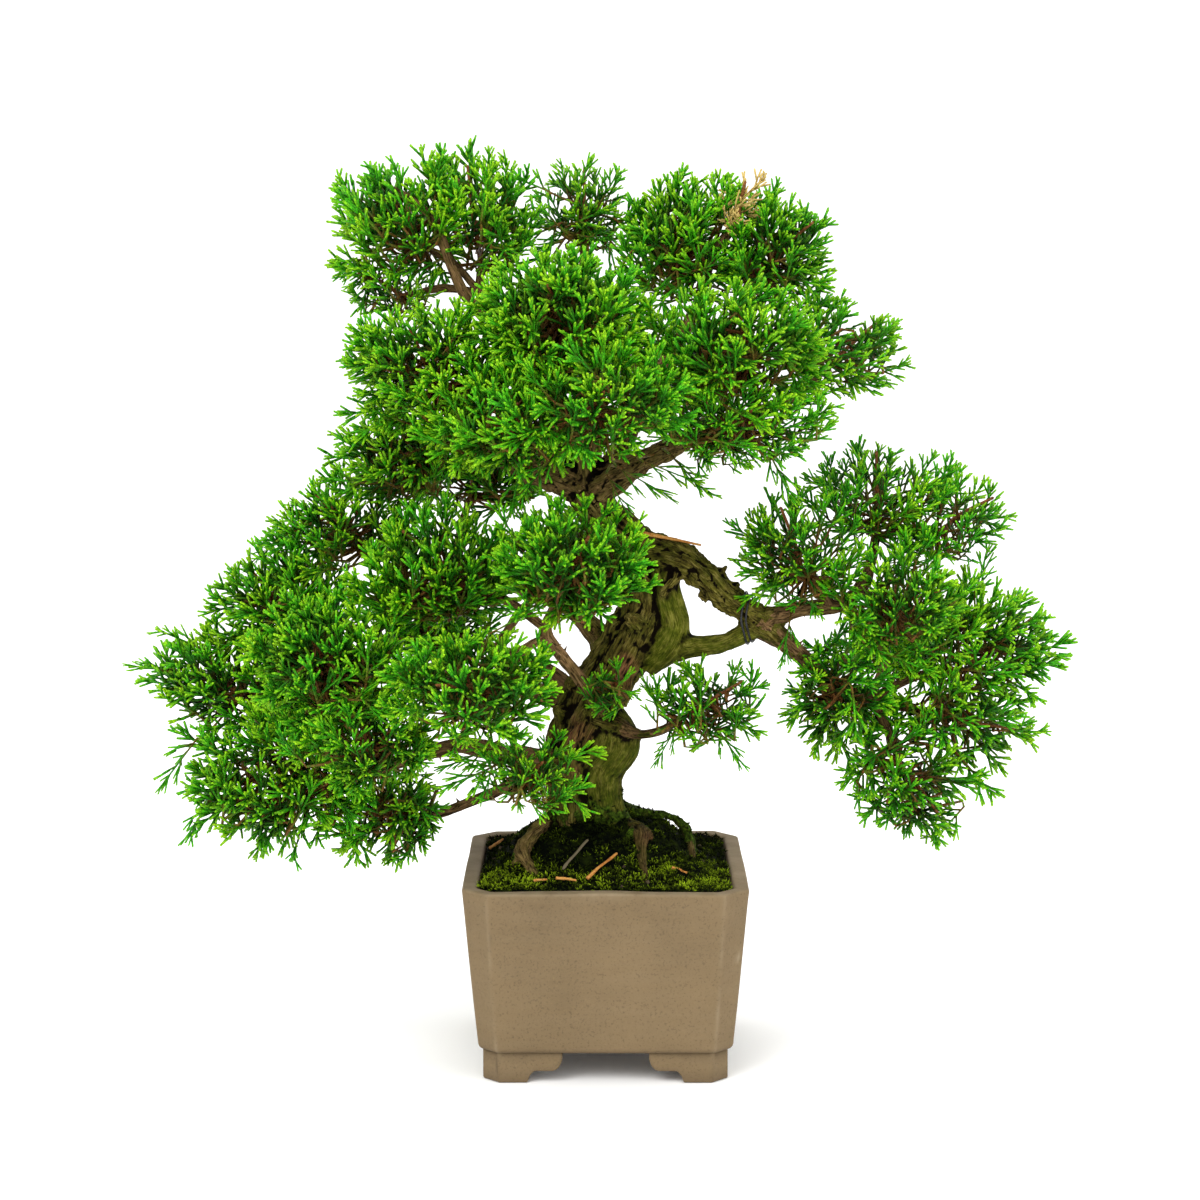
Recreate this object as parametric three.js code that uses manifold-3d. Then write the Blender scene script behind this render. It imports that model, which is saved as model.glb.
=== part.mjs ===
// A Chinese juniper bonsai in its square stoneware pot, in millimetres, +Z up, the front towards -Y.
// Every shape is first built round the pot's centre on the ground. The finished group is then moved so that
// the middle of its bounding box's bottom lies at the origin.

import * as THREE from "three";
import { mergeVertices } from "three/addons/utils/BufferGeometryUtils.js";
import Module from "manifold-3d";

const wasm = await Module();
wasm.setup();

// Clearance between pieces that touch on the real tree
const seatGap = 0.3;

// Pot: outside sizes across the flats, heights from the ground
const potRimSide = 128;
const potBodyBaseSide = 114;
const potHeight = 89;
const potBodyBottom = 13.8;
const potWall = 7;
const potFloorTop = 22;
const potRimCornerCut = 11;
const potBaseCornerCut = 8;
const potEdgeBevel = 1.2;
const potDrainRadius = 11;

// Feet: a ring under the body, cut by one cloud-shaped arch on each side
const footRingSide = 110;
const footWall = 9;
const footCornerCut = 7;
const footFlat = 20;
const footStepHeight = 5.3;
const footStepEnd = 31;
const footArchEnd = 36;

// Plastic mesh over the drain hole
const screenSide = 30;
const screenThickness = 1.2;
const screenHole = 6;
const screenPitch = 8.2;
const screenHoleCount = 3;

// Soil: its edge lies below the rim and it mounds up to the trunk
const soilEdgeHeight = 85.5;
const soilMoundHeight = 106.5;
const soilMoundRadius = 52;
const soilWallHalf = 57;
const soilWallSlope = 9;
const soilSectors = 20;
const soilRings = 4;

// Wire tie round the two crossing limbs: middle of the windings, and how far they spread along the limbs
const wireRadius = 0.55;
const wireTurns = 2.2;
const wireMiddle = [66, -9.5, 202.5];
const wireSpread = 5;
const wireStepsPerTurn = 11;

// Moss lies on the soil as low mats: middle, half sizes
const mossEdgeHeight = 1.3;
const mossMiddleHeight = 3.2;
const mossMats = {
  moss_left: { at: [-46.5, -31], half: [6.2, 17] },
  moss_right: { at: [37, -32], half: [14, 18] },
  moss_back: { at: [14, 44], half: [20, 7.5] },
};

// Dead twigs that fell off: two ends from above, how much the second end is lower, radius
const fallenTwigs = {
  fallen_twig_front: { from: [-10, -46], to: [5, -36], drop: -3.2, radius: 0.75 },
  fallen_twig_left: { from: [-30, -51.5], to: [-19, -50], drop: -0.6, radius: 0.7 },
  fallen_twig_middle: { from: [-21, -28], to: [-8, -42], drop: 3.4, radius: 0.65 },
  fallen_twig_limb: { from: [16, 1], to: [39, -3], drop: 2.5, radius: 0.6 },
};

const underCrown = 260;

// Wooden twigs that bear the pads away from the limbs: radii at root, bend and end
const twigRadii = [3.2, 2.2, 1.7];
const twigSides = 4;
const twigSteps = 2;

// Foliage: a pad is a main spray through its middle with side sprays that reach to its edge.
// A spray is a slim three-sided twig with whorls of three side shoots and an end shoot.
const mainTwigRadius = 1.6;
const sideTwigRadius = 1.3;
const bareSideTwig = 5;
const bareMainShare = 0.45;
const whorlStep = 5.9;
const endShootLength = 9;
const longestShoot = 15;
const shortestShoot = 10;
const shootRadius = 0.9;
const leanAtRoot = 58;
const leanAtTip = 30;
const foliageGap = 0.45;
const sprayArea = 200;
const mostSideSprays = 6;
const sprayAttempts = 40;
const shortestSpray = 16;

const colours = {
  stoneware: 0x96826a,
  soil: 0x2b2119,
  moss: 0x4d6a1c,
  wood: 0x6a5238,
  foliage: 0x3f8f1f,
  deadFoliage: 0xb08a4e,
  deadTwig: 0xa8642c,
  wire: 0x2c2c2e,
  screen: 0x1d1f1e,
};

function material(colour, roughness, metalness = 0) {
  return new THREE.MeshStandardMaterial({ color: colour, roughness, metalness });
}

const materials = {
  stoneware: material(colours.stoneware, 0.85),
  soil: material(colours.soil, 0.95),
  moss: material(colours.moss, 0.95),
  wood: material(colours.wood, 0.85),
  foliage: material(colours.foliage, 0.55),
  deadFoliage: material(colours.deadFoliage, 0.8),
  deadTwig: material(colours.deadTwig, 0.8),
  wire: material(colours.wire, 0.4, 0.8),
  screen: material(colours.screen, 0.6),
};

// A repeatable stream of numbers from 0 to 1
function seededRandom(seed) {
  let state = seed;
  return () => {
    state = (state + 0x6d2b79f5) | 0;
    let t = Math.imul(state ^ (state >>> 15), 1 | state);
    t = (t + Math.imul(t ^ (t >>> 7), 61 | t)) ^ t;
    return ((t ^ (t >>> 14)) >>> 0) / 4294967296;
  };
}

function vector(point) {
  return new THREE.Vector3(point[0], point[1], point[2]);
}

function geometryOf(positions, triangles) {
  const geometry = new THREE.BufferGeometry();
  geometry.setAttribute("position", new THREE.Float32BufferAttribute(positions, 3));
  geometry.setIndex(triangles);
  return geometry;
}

function solidOf(geometry) {
  const bare = geometry.clone();
  bare.deleteAttribute("normal");
  bare.deleteAttribute("uv");
  const merged = mergeVertices(bare, 1e-4);
  const vertProperties = new Float32Array(merged.attributes.position.array);
  const triVerts = new Uint32Array(merged.index.array);
  return new wasm.Manifold(new wasm.Mesh({ numProp: 3, vertProperties, triVerts }));
}

function geometryOfSolid(solid) {
  const mesh = solid.getMesh();
  const geometry = new THREE.BufferGeometry();
  geometry.setAttribute("position", new THREE.BufferAttribute(mesh.vertProperties, 3));
  geometry.setIndex(new THREE.BufferAttribute(mesh.triVerts, 1));
  return geometry;
}

function joined(solids) {
  return solids.reduce((whole, solid) => whole.add(solid));
}

// Closed skin over rings of equal count: sides between rings, a fan over the first and the last one.
// A last ring of one point is a tip.
function skinOverRings(rings) {
  const positions = [];
  const triangles = [];
  const starts = rings.map((ring) => {
    const start = positions.length / 3;
    ring.forEach((point) => positions.push(point.x, point.y, point.z));
    return start;
  });
  for (let k = 0; k + 1 < rings.length; k += 1) {
    const count = rings[k].length;
    for (let i = 0; i < count; i += 1) {
      const a = starts[k] + i;
      const b = starts[k] + ((i + 1) % count);
      if (rings[k + 1].length === 1) {
        triangles.push(a, b, starts[k + 1]);
      } else {
        const c = starts[k + 1] + ((i + 1) % count);
        const d = starts[k + 1] + i;
        triangles.push(a, b, c, a, c, d);
      }
    }
  }
  const last = rings.length - 1;
  for (let i = 1; i + 1 < rings[0].length; i += 1) {
    triangles.push(starts[0], starts[0] + i + 1, starts[0] + i);
  }
  for (let i = 1; i + 1 < rings[last].length; i += 1) {
    triangles.push(starts[last], starts[last] + i, starts[last] + i + 1);
  }
  return geometryOf(positions, triangles);
}

// Centre, radius and a frame that doesn't spin, at each step along a smooth curve through [x, y, z, radius]
// points. A start direction turns the first section only.
function stations(points, steps, startAlong = null) {
  const curve = new THREE.CatmullRomCurve3(points.map(vector), false, "centripetal");
  const result = [];
  let across = null;
  for (let k = 0; k <= steps; k += 1) {
    const t = k / steps;
    const along = k === 0 && startAlong !== null ? startAlong : curve.getTangent(t);
    if (across === null) {
      const helper = Math.abs(along.z) < 0.8 ? new THREE.Vector3(0, 0, 1) : new THREE.Vector3(0, 1, 0);
      across = new THREE.Vector3().crossVectors(helper, along).normalize();
    } else {
      across = across.clone().addScaledVector(along, -across.dot(along)).normalize();
    }
    const place = t * (points.length - 1);
    const index = Math.min(Math.floor(place), points.length - 2);
    const radius = THREE.MathUtils.lerp(points[index][3], points[index + 1][3], place - index);
    const up = new THREE.Vector3().crossVectors(along, across);
    result.push({ centre: curve.getPoint(t), along, across, up, radius, t });
  }
  return result;
}

// Tube along such a curve. The fluting formula widens and narrows the radius round and along the tube.
function tubeGeometry(points, sides, steps, { grow = 0, fluting = () => 1, startAlong = null } = {}) {
  const rings = stations(points, steps, startAlong).map((station) => {
    const ring = [];
    for (let i = 0; i < sides; i += 1) {
      const angle = (i / sides) * Math.PI * 2;
      const radius = station.radius * fluting(angle, station.t) + grow;
      const point = station.centre.clone();
      point.addScaledVector(station.across, Math.cos(angle) * radius);
      point.addScaledVector(station.up, Math.sin(angle) * radius);
      ring.push(point);
    }
    return ring;
  });
  return skinOverRings(rings);
}

// Square with cut corners as eight points, anticlockwise from above
function cutSquare(side, cornerCut, height) {
  const h = side / 2;
  const c = h - cornerCut;
  const outline = [[h, -c], [h, c], [c, h], [-c, h], [-h, c], [-h, -c], [-c, -h], [c, -h]];
  return outline.map(([x, y]) => new THREE.Vector3(x, y, height));
}

// Side of the pot's flared body at a height
function potSideAt(height) {
  const share = (height - potBodyBottom) / (potHeight - potBodyBottom);
  return THREE.MathUtils.lerp(potBodyBaseSide, potRimSide, share);
}

function potCornerCutAt(height) {
  const share = (height - potBodyBottom) / (potHeight - potBodyBottom);
  return THREE.MathUtils.lerp(potBaseCornerCut, potRimCornerCut, share);
}

function potOutline(height, inset) {
  const side = potSideAt(height) - inset * 2;
  const cut = potCornerCutAt(height) - inset * (2 - Math.SQRT2);
  return cutSquare(side, cut, height);
}

function potBody() {
  return solidOf(skinOverRings([
    potOutline(potBodyBottom, 2.4),
    potOutline(potBodyBottom + 0.8, 0.8),
    potOutline(potBodyBottom + 2.6, 0),
    potOutline(potHeight - potEdgeBevel, 0),
    potOutline(potHeight, potEdgeBevel),
  ]));
}

function potHollow() {
  return solidOf(skinOverRings([
    potOutline(potFloorTop, potWall + 2),
    potOutline(potFloorTop + 3, potWall),
    potOutline(potHeight - potEdgeBevel, potWall),
    potOutline(potHeight + 0.1, potWall - potEdgeBevel),
  ]));
}

// Cloud-shaped arch between two feet, as an outline in the plane of one side
function archShape() {
  const half = footRingSide / 2;
  const flatEnd = half - footFlat;
  const stepStart = flatEnd - 3;
  const stepEnd = half - footStepEnd;
  const archEnd = half - footArchEnd;
  const shape = new THREE.Shape();
  shape.moveTo(-flatEnd, -1);
  shape.lineTo(-flatEnd, 0);
  shape.quadraticCurveTo(-flatEnd + 0.6, footStepHeight, -stepStart, footStepHeight);
  shape.lineTo(-stepEnd, footStepHeight);
  shape.quadraticCurveTo(-archEnd - 0.5, footStepHeight + 1, -archEnd, potBodyBottom);
  shape.lineTo(archEnd, potBodyBottom);
  shape.quadraticCurveTo(archEnd + 0.5, footStepHeight + 1, stepEnd, footStepHeight);
  shape.lineTo(stepStart, footStepHeight);
  shape.quadraticCurveTo(flatEnd - 0.6, footStepHeight, flatEnd, 0);
  shape.lineTo(flatEnd, -1);
  return shape;
}

function archCut(turn) {
  const length = footRingSide + 20;
  const options = { depth: length, bevelEnabled: false, curveSegments: 2 };
  const geometry = new THREE.ExtrudeGeometry(archShape(), options);
  geometry.rotateX(Math.PI / 2);
  geometry.translate(0, length / 2, 0);
  geometry.rotateZ(turn);
  return solidOf(geometry);
}

function potFeet() {
  const innerSide = footRingSide - footWall * 2;
  const ring = solidOf(skinOverRings([
    cutSquare(footRingSide, footCornerCut, 0),
    cutSquare(footRingSide, footCornerCut, potBodyBottom + 0.5),
  ]));
  const inside = solidOf(skinOverRings([
    cutSquare(innerSide, footCornerCut, -1),
    cutSquare(innerSide, footCornerCut, potBodyBottom),
  ]));
  return ring.subtract(inside).subtract(archCut(0)).subtract(archCut(Math.PI / 2));
}

function upright(radius, bottom, top, sides) {
  const geometry = new THREE.CylinderGeometry(radius, radius, top - bottom, sides);
  geometry.rotateX(Math.PI / 2);
  geometry.translate(0, 0, (bottom + top) / 2);
  return solidOf(geometry);
}

function potSolid() {
  const drain = upright(potDrainRadius, potBodyBottom - 2, potFloorTop + 2, 16);
  return potBody().add(potFeet()).subtract(potHollow()).subtract(drain);
}

function boxSolid(width, depth, height, x, y, z) {
  const geometry = new THREE.BoxGeometry(width, depth, height);
  geometry.translate(x, y, z);
  return solidOf(geometry);
}

// Flat screen with square holes, lying on the pot's floor over the drain hole
function screenSolid() {
  const middle = potFloorTop + seatGap + screenThickness / 2;
  let screen = boxSolid(screenSide, screenSide, screenThickness, 0, 0, middle);
  for (let column = 0; column < screenHoleCount; column += 1) {
    for (let row = 0; row < screenHoleCount; row += 1) {
      const x = (column - (screenHoleCount - 1) / 2) * screenPitch;
      const y = (row - (screenHoleCount - 1) / 2) * screenPitch;
      screen = screen.subtract(boxSolid(screenHole, screenHole, screenThickness * 2, x, y, middle));
    }
  }
  return screen;
}

// Height of the soil: a mound that falls from the trunk to the edge and to the wall, with lumps
function soilHeight(x, y) {
  const reach = Math.hypot(x + 3, y) / soilMoundRadius;
  const fromWall = soilWallHalf - Math.max(Math.abs(x), Math.abs(y));
  const wallFall = THREE.MathUtils.clamp(fromWall / soilWallSlope, 0, 1);
  const mound = Math.exp(-reach * reach * 1.5) * wallFall;
  const lumps = Math.sin(x * 0.31 + 1.3) * Math.cos(y * 0.27 + 0.4) + Math.sin((x + y) * 0.17);
  const edge = Math.max(Math.abs(x), Math.abs(y)) / (potRimSide / 2);
  const calm = THREE.MathUtils.clamp(3.6 - edge * 4, 0, 1);
  return soilEdgeHeight + (soilMoundHeight - soilEdgeHeight) * mound + lumps * 0.9 * calm;
}

// Distance from the centre to the pot's inner wall in a direction, less the clearance
function innerReach(angle, height) {
  const outline = potOutline(height, potWall + seatGap);
  const direction = new THREE.Vector2(Math.cos(angle), Math.sin(angle));
  let reach = Infinity;
  outline.forEach((point, i) => {
    const next = outline[(i + 1) % outline.length];
    const normal = new THREE.Vector2(next.y - point.y, point.x - next.x).normalize();
    const facing = normal.dot(direction);
    if (facing > 1e-6) {
      reach = Math.min(reach, (normal.x * point.x + normal.y * point.y) / facing);
    }
  });
  return reach;
}

// Ring of the soil inside the wall at a height, drawn in towards the middle by a share
function soilRing(height, share, heightAt) {
  const ring = [];
  for (let i = 0; i < soilSectors; i += 1) {
    const angle = ((i + 0.5) / soilSectors) * Math.PI * 2;
    const reach = innerReach(angle, height) * share;
    const x = Math.cos(angle) * reach;
    const y = Math.sin(angle) * reach;
    ring.push(new THREE.Vector3(x, y, heightAt(x, y)));
  }
  return ring;
}

// Soil from the pot's floor to its lumpy top, which can be raised by a clearance
function soilMass(raise = 0) {
  const rings = [
    soilRing(potFloorTop, 0.95, () => potFloorTop + seatGap),
    soilRing(potFloorTop + 3, 0.998, () => potFloorTop + 3.4),
  ];
  for (let ring = 0; ring < soilRings; ring += 1) {
    const share = 1 - ring / soilRings;
    rings.push(soilRing(soilEdgeHeight - 2, share, (x, y) => soilHeight(x, y) + raise));
  }
  rings.push([new THREE.Vector3(0, 0, soilHeight(0, 0) + raise)]);
  return solidOf(skinOverRings(rings));
}

function soilSolid(woodRoom) {
  const recessSide = screenSide + 2 * seatGap;
  const recessHeight = 2 * (screenThickness + seatGap);
  const recess = boxSolid(recessSide, recessSide, recessHeight, 0, 0, potFloorTop + seatGap);
  return soilMass().subtract(recess).subtract(woodRoom);
}

// Wood: smooth limbs through [x, y, z, radius] points, all grown into one
const trunk = {
  points: [
    [-6, 0, 84, 18], [-6, 0, 95, 18.5], [-7, 0, 110, 16.6], [-8, 0, 124, 15.4], [-7, 0, 141, 15.4],
    [-6, 0, 157, 14.8], [0, 1, 173, 14], [11, 4, 189, 14.2], [19, 6, 207, 13.4], [20, 8, 223, 12],
    [10, 11, 239, 10], [-2, 12, 251, 9], [-9, 9, 264, 10],
  ],
  sides: 12,
  steps: 18,
  fluting: (angle, t) => 1 + 0.09 * Math.cos(3 * angle + 5 * t) + 0.05 * Math.cos(5 * angle - 7 * t + 1),
};

const roots = [
  {
    points: [[-12, -8, 112, 6.5], [-24, -19, 105, 5], [-34, -33, 99, 4.2], [-32, -47, 85, 3]],
    sides: 6,
    steps: 5,
  },
  {
    points: [[4, -10, 111, 5.5], [15, -19, 107, 4], [17, -32, 98, 3.2], [18, -48, 84, 2.4]],
    sides: 5,
    steps: 5,
  },
  {
    points: [[5, 2, 112, 6], [21, 2, 110, 3], [32, 1, 107, 2.6], [40, -5, 90, 2.4]],
    sides: 5,
    steps: 5,
  },
  {
    points: [[6, 6, 111, 6], [20, 16, 103, 4], [32, 24, 95, 3.2], [40, 30, 82, 2.6]],
    sides: 5,
    steps: 4,
  },
  {
    points: [[-14, 4, 113, 6], [-28, 8, 104, 4.2], [-40, 12, 95, 3.4], [-48, 16, 82, 2.8]],
    sides: 5,
    steps: 4,
  },
  {
    points: [[-8, 8, 111, 6], [-12, 22, 103, 4.2], [-14, 36, 94, 3.2], [-16, 46, 82, 2.6]],
    sides: 5,
    steps: 4,
  },
];

const buriedWood = [trunk, ...roots];

const limbs = {
  knee: {
    points: [[-8, -3, 122, 8], [-3, -8, 136, 11.5], [4, -11, 149, 12.2], [9, -7, 166, 9]],
    sides: 8,
    steps: 5,
  },
  upperRight: {
    points: [
      [8, 8, 222, 8], [22, 1, 231, 7.4], [38, -4, 227, 6.2], [50, -8, 218, 5.8],
      [62, -10, 208, 5.6], [72, -9, 201, 6],
    ],
    sides: 8,
    steps: 8,
  },
  lowerRight: {
    points: [
      [10, 0, 192, 9], [27, -3, 192, 7.4], [43, -6, 190, 4.6], [54, -8, 192, 4.2],
      [64, -10, 197, 4.6], [74, -9, 201, 5],
    ],
    sides: 7,
    steps: 6,
  },
  rightLow: {
    points: [
      [68, -9, 202, 6.6], [80, -7, 193, 5], [93, -4, 182, 3.8], [107, -2, 171, 3],
      [124, -2, 164, 2.5], [141, -4, 161, 2],
    ],
    sides: 6,
    steps: 6,
  },
  rightHigh: {
    points: [
      [70, -9, 202, 5.6], [88, -6, 207, 3.8], [108, -3, 209, 3.3], [117, 0, 217, 2.9],
      [123, 6, 236, 2.2], [124, 9, 246, 1.8],
    ],
    sides: 5,
    steps: 6,
  },
  crownLeft: {
    points: [
      [-4, 9, 256, 9.5], [-20, 4, 266, 8.6], [-34, 0, 270, 6.2], [-50, -3, 277, 4.6],
      [-66, -5, 282, 3.4], [-84, -3, 278, 2.2],
    ],
    sides: 7,
    steps: 6,
  },
  crownRight: {
    points: [
      [-8, 10, 258, 9], [4, 0, 267, 7.6], [18, -4, 275, 5.6], [42, -8, 286, 4.4],
      [66, -6, 295, 3.4], [84, -2, 303, 2.6], [95, 0, 312, 2],
    ],
    sides: 7,
    steps: 7,
  },
  leader: {
    points: [
      [-9, 6, 264, 8], [-9, 0, 283, 6.8], [-5, -8, 304, 5], [-9, -18, 320, 3.6],
      [-15, -36, 332, 2.2],
    ],
    sides: 6,
    steps: 5,
  },
  topLeft: {
    points: [
      [-18, 5, 270, 5], [-24, 10, 296, 4.1], [-42, 14, 322, 3.3], [-56, 15, 346, 2.4],
      [-57, 16, 360, 1.9],
    ],
    sides: 5,
    steps: 5,
  },
  topRight: {
    points: [
      [2, 4, 268, 5], [18, 12, 302, 3.8], [36, 16, 332, 2.9], [44, 18, 350, 2.2],
      [44, 19, 360, 1.8],
    ],
    sides: 5,
    steps: 5,
  },
  back: {
    points: [
      [-8, 10, 262, 6], [-6, 28, 288, 4.4], [-6, 42, 312, 3.4], [-10, 52, 350, 2.3],
      [-10, 55, 370, 1.8],
    ],
    sides: 5,
    steps: 6,
  },
  frontArm: {
    points: [
      [-2, -8, 158, 5], [-4, -22, 167, 3.2], [-18, -33, 188, 2.8], [-26, -46, 202, 2.7],
      [-20, -66, 222, 2],
    ],
    sides: 5,
    steps: 6,
  },
  frontTwig: {
    points: [
      [4, -14, 156, 4], [14, -25, 153, 2.2], [25, -27, 155, 2], [33, -27, 160, 1.7],
    ],
    sides: 5,
    steps: 3,
  },
  leftLow: {
    points: [
      [-8, 0, 134, 8], [-21, -4, 136, 5.6], [-43, -16, 142, 4.2], [-68, -24, 147, 3.3],
      [-94, -28, 140, 2.8], [-126, -29, 130, 2],
    ],
    sides: 6,
    steps: 6,
  },
  leftMiddle: {
    points: [
      [-6, 2, 162, 8], [-20, 6, 164, 5.6], [-44, 9, 169, 4.2], [-76, 8, 175, 3.3],
      [-112, 6, 175, 2.9], [-162, 5, 167, 2],
    ],
    sides: 6,
    steps: 7,
  },
  leftHigh: {
    points: [
      [2, 8, 184, 8], [-4, 18, 192, 5.2], [-22, 22, 207, 4.3], [-53, 20, 217, 3.4],
      [-86, 16, 226, 2.9], [-106, 12, 233, 2],
    ],
    sides: 6,
    steps: 6,
  },
  leftBottom: {
    points: [
      [-14, -1, 142, 5], [-32, 0, 130, 2.9], [-60, -4, 118, 2.4], [-82, -10, 111, 1.9],
    ],
    sides: 5,
    steps: 5,
  },
  backLow: {
    points: [
      [-4, 6, 150, 8], [-12, 26, 160, 4.6], [-30, 44, 172, 3.6], [-52, 60, 178, 2.8],
      [-72, 76, 182, 2],
    ],
    sides: 5,
    steps: 5,
  },
};

// Foliage pads: middle, half sizes [x, y, z], and the limb that ends in the pad (the others get a twig)
const pads = {
  dead_spray: { at: [60, 0, 389], half: [13, 11, 13], dry: true },
  crown_far_left: { at: [-92, 12, 384], half: [33, 26, 26] },
  crown_left: { at: [-60, 18, 383], half: [27, 26, 29], endOf: "topLeft" },
  crown_left_tail: { at: [-98, 12, 352], half: [21, 18, 15] },
  crown_back: { at: [-10, 56, 388], half: [24, 20, 22], endOf: "back" },
  crown_right: { at: [38, 20, 374], half: [32, 26, 30], endOf: "topRight" },
  crown_far_right: { at: [78, 12, 368], half: [26, 24, 27] },
  front_top: { at: [-20, -62, 345], half: [38, 30, 28], endOf: "leader" },
  front_left: { at: [-79, -34, 319], half: [38, 30, 28] },
  right_shoulder: { at: [109, 2, 325], half: [29, 26, 23], endOf: "crownRight" },
  front_right: { at: [60, -48, 329], half: [36, 28, 27] },
  front_right_low: { at: [59, -44, 295], half: [38, 26, 19] },
  front_low: { at: [-2, -84, 306], half: [36, 28, 24] },
  front_low_left: { at: [-42, -66, 296], half: [33, 28, 24] },
  left_shoulder: { at: [-97, 0, 274], half: [27, 26, 25], endOf: "crownLeft" },
  left_upper: { at: [-118, 10, 245], half: [30, 26, 22], endOf: "leftHigh" },
  middle_front: { at: [-13, -88, 239], half: [34, 26, 26], endOf: "frontArm" },
  middle_left: { at: [-72, -42, 233], half: [36, 28, 26] },
  far_left_upper: { at: [-151, 8, 209], half: [30, 24, 26] },
  far_left: { at: [-178, 5, 171], half: [37, 26, 24], endOf: "leftMiddle" },
  left_front: { at: [-124, -58, 194], half: [35, 28, 30] },
  front_left_deep: { at: [-57, -94, 187], half: [37, 26, 25] },
  left_low: { at: [-153, -28, 131], half: [38, 28, 33], endOf: "leftLow" },
  bottom_left: { at: [-97, -12, 112], half: [27, 24, 23], endOf: "leftBottom" },
  left_low_front: { at: [-105, -66, 156], half: [32, 24, 21] },
  trunk_front: { at: [-32, -70, 145], half: [23, 17, 18] },
  trunk_right: { at: [45, -28, 168], half: [27, 20, 21], endOf: "frontTwig" },
  trunk_sprig: { at: [0, -32, 176], half: [13, 12, 13] },
  right_upper: { at: [124, 12, 260], half: [34, 28, 21], endOf: "rightHigh" },
  right_far_upper: { at: [160, 6, 248], half: [26, 24, 20] },
  right_inner: { at: [85, -20, 237], half: [26, 22, 27] },
  right_far: { at: [177, 2, 188], half: [33, 26, 31] },
  right_middle: { at: [134, -26, 214], half: [29, 24, 27] },
  right_low_inner: { at: [105, -13, 167], half: [26, 22, 29] },
  right_bottom: { at: [141, -10, 128], half: [27, 24, 30] },
  right_low: { at: [166, -6, 155], half: [29, 24, 30], endOf: "rightLow" },
  back_top: { at: [-21, 92, 328], half: [35, 27, 28] },
  back_top_right: { at: [41, 94, 309], half: [35, 26, 26] },
  back_top_left: { at: [-62, 62, 266], half: [38, 26, 28] },
  back_middle: { at: [-22, 90, 217], half: [33, 25, 24] },
  back_left: { at: [-85, 90, 187], half: [35, 27, 26], endOf: "backLow" },
  back_far_left: { at: [-138, 68, 153], half: [32, 26, 26] },
  back_right: { at: [140, 62, 182], half: [30, 25, 24] },
};

function limbSolid({ points, sides, steps, fluting }, grow = 0) {
  return solidOf(tubeGeometry(points, sides, steps, { grow, fluting }));
}

// Straight capsules that stand for every piece while foliage is placed: ends, radius and owner
const occupied = [];

function occupy(owner, from, to, radius) {
  occupied.push({ owner, from, to, radius });
}

// Shortest distance between two straight segments
function segmentDistance(a, b, c, d) {
  const u = b.clone().sub(a);
  const v = d.clone().sub(c);
  const w = a.clone().sub(c);
  const uu = u.dot(u);
  const uv = u.dot(v);
  const vv = v.dot(v);
  const uw = u.dot(w);
  const vw = v.dot(w);
  const spread = uu * vv - uv * uv;
  let s = spread > 1e-9 ? THREE.MathUtils.clamp((uv * vw - vv * uw) / spread, 0, 1) : 0;
  const t = THREE.MathUtils.clamp((uv * s + vw) / Math.max(vv, 1e-9), 0, 1);
  s = THREE.MathUtils.clamp((uv * t - uw) / Math.max(uu, 1e-9), 0, 1);
  return w.addScaledVector(u, s).addScaledVector(v, -t).length();
}

// Whether a capsule stays clear of everything but the named owners
function isClear(from, to, radius, except) {
  return occupied.every((other) => {
    if (except.includes(other.owner)) {
      return true;
    }
    const reach = radius + other.radius + foliageGap;
    const far = reach + from.distanceTo(to) + other.from.distanceTo(other.to);
    if (from.distanceToSquared(other.from) > far * far) {
      return true;
    }
    return segmentDistance(from, to, other.from, other.to) > reach;
  });
}

// Twig from the nearest limb towards a pad's middle. The pad's main twig begins at its flat end.
function twigFor(pad, limbPlaces) {
  const middle = vector(pad.at);
  let best = null;
  limbPlaces.forEach((place) => {
    const distance = place.centre.distanceTo(middle) + Math.max(place.centre.z - middle.z, 0) * 0.6;
    if (best === null || distance < best.distance) {
      best = { distance, place };
    }
  });
  const start = best.place.centre;
  const span = start.distanceTo(middle);
  const share = Math.max(0.45, 1 - (0.55 * Math.min(pad.half[0], pad.half[2])) / span);
  const end = start.clone().lerp(middle, share);
  end.z -= Math.min(4, span * 0.08);
  const bend = start.clone().lerp(end, 0.5);
  bend.z += span * 0.06;
  const radii = [Math.min(best.place.radius * 0.8, twigRadii[0]), twigRadii[1], twigRadii[2]];
  const points = [start, bend, end].map((point, i) => [point.x, point.y, point.z, radii[i]]);
  return { points, sides: twigSides, steps: twigSteps };
}

const limbList = Object.values(limbs);
const limbPlaces = [];
limbList.forEach((limb) => {
  stations(limb.points, limb.steps).forEach((station) => {
    if (station.t > 0.3 && station.t < 0.84 && limb !== limbs.knee) {
      limbPlaces.push(station);
    }
  });
});
const twigs = {};
Object.entries(pads).forEach(([name, pad]) => {
  if (pad.endOf === undefined) {
    twigs[name] = twigFor(pad, limbPlaces);
  }
});
const allWood = [trunk, ...roots, ...limbList, ...Object.values(twigs)];

allWood.forEach((limb) => {
  const places = stations(limb.points, limb.steps);
  for (let k = 0; k + 1 < places.length; k += 1) {
    const radius = Math.max(places[k].radius, places[k + 1].radius) * (limb === trunk ? 1.14 : 1);
    occupy("wood", places[k].centre, places[k + 1].centre, radius);
  }
});

function woodSolid() {
  return joined(allWood.map((limb) => limbSolid(limb)));
}

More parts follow.
